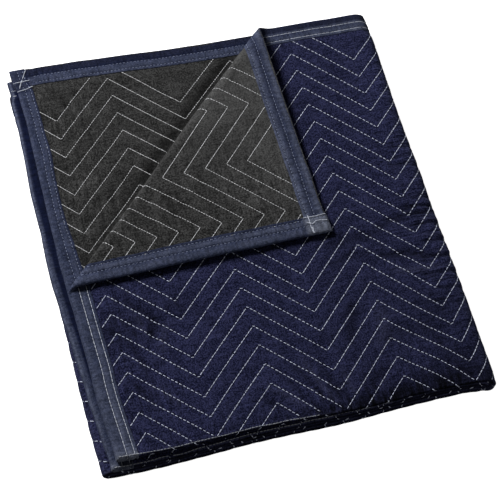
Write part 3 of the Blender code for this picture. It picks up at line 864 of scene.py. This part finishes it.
def quilted_sheet(name, side, u_spacings, v_spacings, material):
    """One cloth of the quilt, from a flat net that follows the lines of stitching."""
    turns = np.interp(TURNS, [0.0, LAYER_A, own_length(WRAP_END), own_length(LENGTH)],
                      [0.0, LAYER_A, WRAP_END, LENGTH])
    turns = [turn for turn in turns if TURNS_FROM_END < turn < LENGTH - TURNS_FROM_END]
    us = spaced_lines([*net_breaks(LENGTH), *ROUTE_ENDS[:-1], *turns], u_spacings)
    front = [TOP_PLY - 2 * ROW_PITCH, TOP_PLY, SECOND_PLY, SECOND_PLY + 2 * ROW_PITCH]
    vs = spaced_lines([*net_breaks(WIDTH), *GATHERS, *front], v_spacings)
    u, v = np.meshgrid(us, vs, indexing="ij")
    # The nearest line across each column moves onto each line of stitching.
    gaps = np.gradient(vs)
    line = np.clip(np.round(quilt_row(u, v)), FIRST_LINE, LAST_LINE)
    on_line = row_place(line + ZIGZAG_ROWS * zigzag(u, v))
    kept = (vs < PAD_RAMP[1]) | (vs > WIDTH - PAD_RAMP[1])
    kept = kept | (np.abs(vs - (TOP_PLY + SECOND_PLY) / 2) < FRONT_BEND)
    snaps = (np.abs(on_line - v) <= 0.5 * gaps) & ~kept
    v = np.where(snaps, on_line, v)
    # Each cell is split along the way that the stitching runs there.
    a, b, c, d = cell_corners(u.shape)
    rising = np.diff(zigzag(u, v), axis=0)[:, :-1] > 0
    first = np.where(rising[..., None], np.stack([a, b, c], -1), np.stack([a, b, d], -1))
    second = np.where(rising[..., None], np.stack([a, c, d], -1), np.stack([b, c, d], -1))
    triangles = np.concatenate([first.reshape(-1, 3), second.reshape(-1, 3)])
    points, triangles = cut_crest(np.stack([u, v], -1).reshape(-1, 2), triangles)
    if side > 0:
        triangles = triangles[:, ::-1]
    u, v = points.T
    places = fold(u, v, cloth_height(u, v, side))
    quilt = np.stack([np.clip(quilt_row(u, v), FIRST_LINE - 0.5, LAST_LINE + 0.5), u / ROW_PITCH], -1)
    return add_piece(name, places, triangles, points, material, quilt, cloth_shares(u, v, side))


# --- Bindings -------------------------------------------------------------------------------------
# The tape's section: how far in from the finished edge, and how far from the middle of the ply, in mm.
TAPE_SECTION = (
    (25.1, 1.30), (24.9, 1.80), (24.3, 2.02), (23.2, 2.05), (22.2, 1.90), (21.7, 1.62), (21.3, 1.50),
    (20.9, 1.62), (20.0, 1.95), (17.8, 2.15), (15.3, 2.12), (13.8, 1.95), (12.9, 1.60), (12.5, 1.45),
    (12.1, 1.60), (11.0, 2.05), (8.4, 2.35), (5.6, 2.40), (3.4, 2.25), (1.8, 1.90), (0.8, 1.40),
    (0.2, 0.75), (0.0, 0.0),
)
# How far in from the edge its two rows of stitching lie.
TAPE_ROWS = (12.5 * MM, 21.3 * MM)
# Where a tape's face is usually paler, with wear and painted highlights on its puffed parts: middle and half
# width in mm, and how much.
USUAL_HIGHLIGHT_AND_WEAR = ((15.5, 2.4, 0.55), (3.0, 2.2, 0.30))
# Where an end's tape goes round the front fold.
NOSE = TOP_PLY + 4.0 * MM
# How far from a corner an end's tape lies over the long one, and over what length it steps down.
TAPE_OVERLAP = 26.0 * MM
TAPE_STEP = 3.0 * MM
TAPE_THICK = 0.85 * MM
# How close a tape's cuts are up to each place, in mm.
LONG_TAPE_SPACINGS = ((LAYER_A, 2.5), (WRAP_END, 1.6), (LAYER_D, 5.0), (LOWER_FOLD_END, 1.6), (LAYER_C, 5.0),
                      (INNER_END, 1.6), (LENGTH, 5.0))
END_TAPE_SPACINGS = ((0.0, 0.8), (TOP_PLY, 2.5), (SECOND_PLY, 0.8), (WIDTH, 2.5), (WIDTH + TAPE_STEP, 0.8))


def tape_section():
    """The whole section, from the face side's inner edge round the finished edge to the back's."""
    face = [(inward * MM, height * MM) for inward, height in TAPE_SECTION]
    return np.array(face + [(inward, -height) for inward, height in face[-2::-1]])


def tape_height(inward):
    """How far the tape's face side stands from the middle of the ply."""
    section = tape_section()[: len(TAPE_SECTION)]
    return np.interp(-inward, -section[:, 0], section[:, 1])


def wandering(run, inward):
    """The tape and its rows of stitching aren't quite straight."""
    return inward + 0.35 * MM * uneven(run, run * 0, 23 * MM, 43)


def distances(points):
    """How far along a line each of its points lies."""
    return np.concatenate([[0.0], np.cumsum(np.hypot(*np.diff(points, axis=0).T))])


def tape_on_flat(edge, run, inward):
    """Where a point of an edge's tape lies on the flat cloth."""
    if edge == "far_top":
        return run, inward
    if edge == "far_second":
        return run, WIDTH - inward
    if edge == "end_upper":
        return inward, run
    return LENGTH - inward, run


def tape_lift(edge, run, inward, height):
    """Slight puffs and puckers of the tape; at the corners an end's tape lies over the long ones."""
    grows = 1.0 + 0.10 * uneven(run, inward, 14 * MM, 41) + 0.05 * uneven(run, inward, 5 * MM, 42)
    lifted = height * grows
    if edge.startswith("far"):
        lifted = lifted * (1.0 - 0.35 * (1.0 - smooth(3 * MM, 13 * MM, inward)))
    if edge.startswith("end"):
        to_corner = np.minimum(run, WIDTH - run)
        over = 1.0 - smooth(TAPE_OVERLAP, TAPE_OVERLAP + TAPE_STEP, to_corner)
        lifted = lifted + np.sign(height) * over * TAPE_THICK
        lifted = lifted * (1.0 - 0.75 * (1.0 - smooth(-1.5 * MM, 1.2 * MM, to_corner)))
    return lifted


def tape_width_there(edge, run, inward, height):
    """The upper end's tape is sewn on narrower where the second ply shows its back."""
    if edge != "end_upper":
        return inward
    narrower = 6.5 * MM * smooth(740 * MM, 850 * MM, run) - 2.2 * MM * ridge(run, 915 * MM, 22 * MM)
    return inward * (1.0 - narrower / BINDING_WIDTH * (height < 0))


def stripes(place, *rows):
    """Soft lines, each with its middle and half width in mm and its strength."""
    return sum(strength * ridge(place, middle * MM, half_width * MM) for middle, half_width, strength in rows)


# Each edge's wear and painted light: how much its face and its back are worn or carry painted highlights, its
# seams and painted shade, and how much painted shade its outer part gets at the far edges.
def far_top_wear_and_shading(run, inward, height, rows):
    # Painted highlights on the puffed parts of the tape, and over the far right corner.
    face_highlight_and_wear = stripes(inward, (24.0, 2.0, 0.70), (19.5, 2.0, 0.50), (11.0, 1.2, 0.45))
    back_highlight_and_wear = 0.18 + stripes(inward, (22.0, 4.0, 0.75), (5.5, 2.4, 0.80))
    # Painted shade in the valley of the back's tape, with the rows of stitching.
    seam_and_shade = np.maximum(rows, stripes(inward, (13.0, 3.0, 0.45)) * (height < 0))
    # Painted shade on the face's outer part, where it slopes away from the light.
    under = (1.0 - smooth(8.5 * MM, 10.5 * MM, inward)) * (height > 0)
    return face_highlight_and_wear + stripes(run, (450.0, 26.0, 0.35)), back_highlight_and_wear, seam_and_shade, under


def far_second_wear_and_shading(run, inward, height, rows):
    back_highlight_and_wear = 0.25 * smooth(13 * MM, 16 * MM, inward)
    seam_and_shade = np.maximum(rows, stripes(inward, (11.0, 1.2, 0.9)))
    # Painted highlights on the puffed parts, and painted shade on the outer part where it slopes away from
    # the light.
    return stripes(inward, *USUAL_HIGHLIGHT_AND_WEAR), back_highlight_and_wear, seam_and_shade, 1.0 - smooth(9.5 * MM, 12.0 * MM, inward)


def end_lower_wear_and_shading(run, inward, height, rows):
    # Painted light on the nose at the front fold, which is in shade.
    face_highlight_and_wear = stripes(inward, (1.2, 1.6, 0.8)) + 0.8 * ridge(run, NOSE, 7 * MM)
    # Painted shadow where the upper pair's tape edge overhangs this tape, stronger further along.
    shadow_from = 2.2 * MM + 4.3 * MM * (1.0 - smooth(720 * MM, 880 * MM, run))
    painted_shadow_strength = 0.45 + 0.55 * smooth(560 * MM, 660 * MM, run)
    seam_and_shade = np.maximum(rows, painted_shadow_strength * smooth(shadow_from, shadow_from + 2 * MM, inward))
    return face_highlight_and_wear, 0.0 * inward, seam_and_shade, 0.0 * inward


def end_upper_wear_and_shading(run, inward, height, rows):
    face_highlight_and_wear = stripes(inward, *USUAL_HIGHLIGHT_AND_WEAR) + 0.30 * smooth(370 * MM, 480 * MM, run)
    # Painted light on the nose at the front fold, which is in shade.
    face_highlight_and_wear = face_highlight_and_wear + 0.7 * ridge(run, NOSE, 7 * MM)
    back_highlight_and_wear = np.where(run < TOP_PLY, stripes(inward, (16.8, 2.4, 0.75), (6.0, 3.5, 0.42)),
                        stripes(inward, (17.5, 3.0, 0.22), (2.0, 1.8, 0.25)))
    tip = (1.0 - smooth(25 * MM, 27 * MM, run)) * (0.75 + 0.25 * uneven(run, inward, 4 * MM, 45))
    back_highlight_and_wear = np.maximum(back_highlight_and_wear * (1.0 - 0.3 * tip), tip * 0.95)
    # Dark at the rows away from the tip, with a painted shadow along the inner edge of the tape's back.
    seam_and_shade = np.maximum(rows * (1.0 - tip), stripes(inward, (24.0, 1.3, 0.5)) * (height < 0))
    from_end = WIDTH - run
    fold_over = stripes(run, (27.6, 1.0, 1.0)) + stripes(from_end, (31.0, 1.0, 1.0))
    fold_over = fold_over + stripes(inward, (23.6, 1.2, 1.0)) * (from_end < 31 * MM)
    seam_and_shade = np.maximum(seam_and_shade, 0.8 * np.clip(fold_over, 0.0, 1.0))
    # Painted shade on the tape's last stretch at the second ply's far edge.
    return face_highlight_and_wear, back_highlight_and_wear, seam_and_shade, 0.45 * smooth(WIDTH - 30 * MM, WIDTH - 28 * MM, run)


EDGE_WEAR_AND_SHADING = {"far_top": far_top_wear_and_shading, "far_second": far_second_wear_and_shading,
             "end_upper": end_upper_wear_and_shading, "end_lower": end_lower_wear_and_shading}


def tape_shares(edge, run, inward, height):
    """Where the tape is worn or has painted highlights, its seams and painted shade, painted shade on its
    outer part at the far edges, and a pale tab: painted light at a nose, and a pale tip.
    """
    from_row = np.min([np.abs(inward - row) for row in TAPE_ROWS], axis=0)
    # Painted shade in the grooves along the rows of stitching.
    rows = 0.60 * np.clip(1.0 - from_row / (1.2 * MM), 0.0, 1.0)
    face_highlight_and_wear, back_highlight_and_wear, seam_and_shade, under = EDGE_WEAR_AND_SHADING[edge](run, inward, height, rows)
    patchiness = 0.72 + 0.28 * uneven(run, inward, 9 * MM, 44)
    highlight_and_wear = np.clip(np.where(height < 0, back_highlight_and_wear, face_highlight_and_wear) * patchiness, 0.0, 1.0)
    # Painted light on the ends' noses at the front fold, which are in shade.
    tab = 0.8 * ridge(run, NOSE, 6 * MM) * edge.startswith("end")
    if edge == "end_upper":
        tab = np.maximum(tab, 0.75 * (1.0 - smooth(25.5 * MM, 27 * MM, run)) * (height < 0))
    return {"highlight_and_wear": highlight_and_wear, "seam_and_shade": seam_and_shade, "turned_under": under, "tab": tab}


def binding_strip(name, edge):
    """The tape on one edge of the blanket, as an open strip wrapped round it."""
    on_length = edge.startswith("far")
    if on_length:
        breaks = [0.6 * MM, LENGTH - 0.6 * MM, *ROUTE_ENDS[:-1]]
    else:
        ends = [-1.3 * MM, -0.9 * MM, -0.3 * MM, TAPE_OVERLAP, TAPE_OVERLAP + TAPE_STEP]
        breaks = ends + [WIDTH - end for end in ends] + [TOP_PLY, SECOND_PLY]
    runs = spaced_lines(breaks, LONG_TAPE_SPACINGS if on_length else END_TAPE_SPACINGS)
    section = tape_section()
    run, point = np.meshgrid(runs, np.arange(len(section)), indexing="ij")
    inward, height = section[point, 0], section[point, 1]
    inward = wandering(run, inward)
    height = tape_lift(edge, run, inward, height)
    u, v = tape_on_flat(edge, run, tape_width_there(edge, run, inward, height))
    a, b, c, d = cell_corners(run.shape)
    cells = np.stack([a, b, c, a, c, d], -1).reshape(-1, 3)
    if edge in ("far_top", "end_lower"):
        cells = cells[:, ::-1]
    places = fold(u.ravel(), v.ravel(), height.ravel())
    flat = np.stack([run, distances(section)[point]], -1).reshape(-1, 2)
    shares = tape_shares(edge, run, inward, height)
    return add_piece(name, places, cells, flat, BINDING_FINISH, None, shares)


# --- Stitches -------------------------------------------------------------------------------------
# Each kind's spacing, length, width and height in mm, and how much longer it is where v falls as u grows.
FACE_STITCH = (5.1, 3.7, 0.90, 0.62, 1.24)
FRONT_STITCH = (5.1, 4.4, 1.15, 0.80, 1.0)
BACK_STITCH = (3.4, 2.75, 0.76, 0.60, 1.25)
FACE_TAPE_STITCH = (5.0, 5.0, 0.72, 0.50, 1.0)
BACK_TAPE_STITCH = (4.4, 2.6, 0.70, 0.50, 1.0)
CORNER_STITCH = (2.0, 2.3, 0.95, 0.70, 1.0)
RIM_STITCH = (4.0, 3.6, 0.60, 0.50, 1.0)
# Where the quilting's thread starts along u on the face and on the back, and how far from the lower end it
# stops, in mm. Then how near a long edge it comes, and the fewest points of a run that is sewn.
QUILTED_FROM = {1: 26.0, -1: 16.0}
QUILTED_TO = 26.0
BESIDE_TAPE = 24.5 * MM
SHORTEST_RUN = 9


def model_stitch():
    """One stitch along X, 1 long, 1 wide and 1 high: a rounded thread that dips at both ends."""
    bpy.ops.object.select_all(action="DESELECT")
    bpy.ops.mesh.primitive_cylinder_add(vertices=5, radius=0.5, depth=1.0, rotation=(0.0, math.pi / 2, 0.0))
    bpy.ops.object.transform_apply(location=True, rotation=True, scale=True)
    stitch = bpy.context.object
    bpy.ops.object.mode_set(mode="EDIT")
    for place in (-0.3, 0.3):
        bpy.ops.mesh.select_all(action="SELECT")
        bpy.ops.mesh.bisect(plane_co=(place, 0.0, 0.0), plane_no=(1.0, 0.0, 0.0))
    bpy.ops.mesh.select_all(action="SELECT")
    bpy.ops.mesh.quads_convert_to_tris()
    bpy.ops.object.mode_set(mode="OBJECT")
    places = np.array([vert.co[:] for vert in stitch.data.vertices])
    triangles = np.array([face.vertices[:] for face in stitch.data.polygons])
    at_end = np.abs(places[:, 0]) > 0.4
    places[at_end, 1:] *= 0.55
    places[at_end, 2] -= 0.45
    bpy.data.objects.remove(stitch)
    return places, triangles


def stitch_places(runs, spacing, length):
    """The middles of the stitches along the runs, and their ways on the flat cloth."""
    centres, ways = [], []
    for number, run in enumerate(runs):
        along = distances(run[:, :2])
        count = int(along[-1] / spacing)
        if count < 1:
            continue
        at = (np.arange(count) + 0.5 + 0.04 * np.sin(np.arange(count) * 2.4 + number)) * spacing
        at = at[at < along[-1] - length / 2]
        behind, here, ahead = (
            np.stack([np.interp(at + step * length, along, column) for column in run.T], -1)
            for step in (-0.4, 0.0, 0.4)
        )
        way = ahead[:, :2] - behind[:, :2]
        centres.append(here)
        ways.append(way / np.maximum(np.hypot(*way.T), 1e-9)[:, None])
    return np.concatenate(centres), np.concatenate(ways)


def lay_stitches(name, runs, thread, side, kind):
    """Copies of the stitch along runs of flat points (u, v, w), as one piece."""
    places, triangles = STITCH
    *sizes, longer = kind
    spacing, length, width, height = (size * MM for size in sizes)
    centres, ways = stitch_places(runs, spacing, length)
    number = np.arange(len(centres))
    lengths = length * (1.0 + 0.07 * np.sin(number * 1.7) + 0.05 * np.sin(number * 4.1))
    lengths = np.where(ways[:, 0] * ways[:, 1] < -0.1, lengths * longer, lengths)
    along = places[None, :, 0] * lengths[:, None]
    across = places[None, :, 1] * width
    up = places[None, :, 2] * height + 0.35 * height
    u = centres[:, 0, None] + along * ways[:, 0, None] - across * ways[:, 1, None]
    v = centres[:, 1, None] + along * ways[:, 1, None] + across * ways[:, 0, None]
    w = centres[:, 2, None] + side * up
    cells = (triangles[None] + (number * len(places))[:, None, None]).reshape(-1, 3)
    if side > 0:
        cells = cells[:, ::-1]
    flat = np.stack([u.ravel(), v.ravel()], -1)
    return add_piece(name, fold(u.ravel(), v.ravel(), w.ravel()), cells, flat, thread)


def quilting_runs(side, shown):
    """Lines of quilting in runs that show, as flat points."""
    u = np.arange(QUILTED_FROM[side], LENGTH / MM - QUILTED_TO, 0.6) * MM
    runs = []
    for line in range(FIRST_LINE, LAST_LINE + 1):
        v = line_place(line, u)
        good = (v > BESIDE_TAPE) & (v < WIDTH - BESIDE_TAPE) & shown(u, v)
        edges = np.flatnonzero(np.diff(good.astype(int)))
        for piece in np.split(np.arange(len(u)), edges + 1):
            if len(piece) >= SHORTEST_RUN and good[piece[0]]:
                w = cloth_height(u[piece], v[piece], side)
                runs.append(np.stack([u[piece], v[piece], w], -1))
    return runs


# Which of the quilting shows, and is sewn in thread.
def on_top(u, v):
    return (u < WRAP_END + 12 * MM) & (v < TOP_PLY + 1 * MM) & (past_crest(u, v) < 14 * MM)


def under(u, v):
    return (u > WRAP_END + 12 * MM) & (u < LOWER_FOLD_END + 3 * MM) & (v < TOP_PLY + 1 * MM)


def on_front_fold(u, v):
    return (v > TOP_PLY + 1 * MM) & (v < SECOND_PLY + 5 * MM)


def on_back(u, v):
    turned = (v < TOP_PLY) & (past_crest(u, v) > -14 * MM)
    second = (v > SECOND_PLY) & (past_crest(u, v) > -26 * MM)
    return (u < LAYER_A) & (turned | second)


def tape_run(edge, side, start, end, row):
    """A row of stitching along an edge's tape, as flat points."""
    run = np.arange(start, end, 0.8 * MM)
    inward = wandering(run, row)
    w = tape_lift(edge, run, inward, np.full_like(run, side * tape_height(row)))
    u, v = tape_on_flat(edge, run, tape_width_there(edge, run, inward, side))
    return np.stack([u, v, w], -1)


def corner_thread(edge, side, points):
    """A line of bar tack on an end's tape, through points in and along, in mm."""
    points = np.array(points, float) * MM
    along = distances(points)
    at = np.arange(0.0, along[-1], 0.5 * MM)
    inward, run = np.interp(at, along, points[:, 0]), np.interp(at, along, points[:, 1])
    u, v = tape_on_flat(edge, run, inward)
    return np.stack([u, v, tape_lift(edge, run, inward, side * tape_height(inward))], -1)


def rim_run(start, end, v):
    """A line along the front fold's rim, as flat points."""
    u = np.arange(start, end, 1.0 * MM)
    v = v + 0.5 * MM * uneven(u, u * 0, 19 * MM, 71)
    on_tape = np.minimum(u, LENGTH - u) < 25 * MM
    return np.stack([u, v, np.where(on_tape, 2.4 * MM, cloth_height(u, v, 1))], -1)


# --- Building -------------------------------------------------------------------------------------
STITCH = model_stitch()

face = quilted_sheet("face_cloth_sheet", 1, FACE_U_SPACINGS, FACE_V_SPACINGS, FACE_FINISH)
back = quilted_sheet("back_cloth_sheet", -1, BACK_U_SPACINGS, BACK_V_SPACINGS, BACK_FINISH)
strips = {edge: binding_strip(f"{edge}_tape", edge) for edge in EDGE_WEAR_AND_SHADING}
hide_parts("face_cloth")
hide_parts("back_cloth")
for edge, strip in strips.items():
    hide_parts(f"binding_{edge}")

top_stitches = lay_stitches("face_stitches_top", quilting_runs(1, on_top), FACE_THREAD, 1, FACE_STITCH)
under_stitches = lay_stitches("face_stitches_under", quilting_runs(1, under), FACE_THREAD, 1, FACE_STITCH)
front_stitches = lay_stitches("front_fold_stitches", quilting_runs(1, on_front_fold), FACE_THREAD, 1,
                              FRONT_STITCH)
back_stitches = lay_stitches("back_stitches", quilting_runs(-1, on_back), BACK_THREAD, -1, BACK_STITCH)

# The stretches of each tape on which its rows of stitching show, from and to.
FACE_ROWS = (
    ("far_top", 300 * MM, LAYER_D + 10 * MM), ("end_upper", 285 * MM, SECOND_PLY + 10 * MM),
    ("end_lower", TOP_PLY - 12 * MM, SECOND_PLY + 12 * MM),
)
BACK_ROWS = (
    ("far_top", 26 * MM, BACK_SHOWS), ("far_second", 26 * MM, BACK_SHOWS),
    ("end_upper", 0.0, 325 * MM), ("end_upper", 700 * MM, WIDTH),
)
# Bar tacks on the upper end's back, through points in from the edge and along it, in mm.
END = WIDTH / MM
CORNER_THREADS = (
    [(24.5, 0.5), (23.5, 12), (24, 21), (24.5, 27)], [(15, 0.5), (17, 9), (17, 14), (14, 18), (18, 26)],
    [(27, 20.5), (17, 21), (9, 21.5), (3, 21), (0.5, 20)], [(9, 20), (3, 20.5), (0.5, 19)],
    [(0.5, END - 18.5), (22, END - 17.5)], [(0.5, END - 30), (8, END - 29.5), (22, END - 26.5)],
    [(19, END - 3), (14, END - 12), (9, END - 21), (3, END - 28.5)],
)
face_runs = [tape_run(edge, 1, start, end, row) for row in TAPE_ROWS for edge, start, end in FACE_ROWS]
face_runs += [corner_thread("end_lower", 1, [(0.6, END - away), (11, END - away - 1)]) for away in (14, 21)]
back_runs = [tape_run(edge, -1, start, end, row) for row in TAPE_ROWS for edge, start, end in BACK_ROWS]
corner_runs = [corner_thread("end_upper", -1, points) for points in CORNER_THREADS]
rim_runs = [rim_run(2 * MM, 240 * MM, TOP_PLY + 0.8 * MM),
            rim_run(INNER_END, LENGTH - 2 * MM, SECOND_PLY - 0.8 * MM)]
lay_stitches("tape_stitches_face", face_runs, PALE_TAPE_THREAD, 1, FACE_TAPE_STITCH)
lay_stitches("tape_stitches_back", back_runs, BLUE_TAPE_THREAD, -1, BACK_TAPE_STITCH)
lay_stitches("corner_threads", corner_runs, PALE_TAPE_THREAD, -1, CORNER_STITCH)
lay_stitches("rim_stitches", rim_runs, RIM_THREAD, 1, RIM_STITCH)

# --- Floor, light and camera ----------------------------------------------------------------------
bpy.ops.object.select_all(action="DESELECT")
bpy.ops.mesh.primitive_plane_add(size=40.0, location=(0.0, 0.0, 0.0))
floor = bpy.context.object
floor.name = "floor"
paper = Finish("pale floor", 0.9)
grain = paper.noise(paper.node("ShaderNodeTexCoord", {}, {}, "Object"), 40.0)
paper.shader.inputs["Emission Color"].default_value = (1.0, 1.0, 1.0, 1.0)
paper.shader.inputs["Emission Strength"].default_value = 1.0
tint = paper.mix(grain, (0.93, 0.93, 0.93), (0.96, 0.96, 0.96))
floor.data.materials.append(paper.finished(Base_Color=tint))
floor.visible_diffuse = floor.visible_glossy = False

# The camera's place, and how far it is turned round X, Y and Z, in degrees.
CAMERA_PLACE = (-0.60123, -1.16338, 2.25132)
CAMERA_TURNS = (29.26991, -6.69215, -16.24299)
camera = bpy.data.objects.new("camera", bpy.data.cameras.new("camera"))
bpy.context.scene.collection.objects.link(camera)
camera.location = CAMERA_PLACE
camera.rotation_euler = [math.radians(turn) for turn in CAMERA_TURNS]
camera.data.sensor_width = 36.0
camera.data.lens = 158.4
bpy.context.scene.camera = camera


def add_light(name, place, size, power, colour=(1.0, 1.0, 1.0)):
    lamp = bpy.data.lights.new(name, "AREA")
    lamp.shape, lamp.size, lamp.energy, lamp.color = "DISK", size, power, colour
    light = bpy.data.objects.new(name, lamp)
    bpy.context.scene.collection.objects.link(light)
    light.location = place
    light.rotation_mode = "QUATERNION"
    light.rotation_quaternion = (Vector(place) * -1).to_track_quat("-Z", "Y")
    return light


add_light("key_light", (-1.15, 1.35, 1.5), 0.8, 58.0)
add_light("low_fill", (1.6, -2.0, 0.4), 0.8, 9.0)
world = bpy.data.worlds.new("studio")
bpy.context.scene.world = world
world.use_nodes = True
sky = world.node_tree
direction = sky.nodes.new("ShaderNodeTexCoord")
split = sky.nodes.new("ShaderNodeSeparateXYZ")
dome = sky.nodes.new("ShaderNodeMapRange")
for name, value in (("From Min", 0.1), ("From Max", 1.0), ("To Min", 0.42), ("To Max", 1.10)):
    dome.inputs[name].default_value = value
sky.links.new(direction.outputs["Generated"], split.inputs[0])
# The room is darker towards the front.
leaning = sky.nodes.new("ShaderNodeMath")
leaning.operation = "MULTIPLY_ADD"
leaning.inputs[1].default_value = 0.30
sky.links.new(split.outputs["Y"], leaning.inputs[0])
sky.links.new(split.outputs["Z"], leaning.inputs[2])
sky.links.new(leaning.outputs[0], dome.inputs["Value"])
sky.links.new(dome.outputs[0], sky.nodes["Background"].inputs["Strength"])
bpy.context.scene.view_settings.view_transform = "Standard"
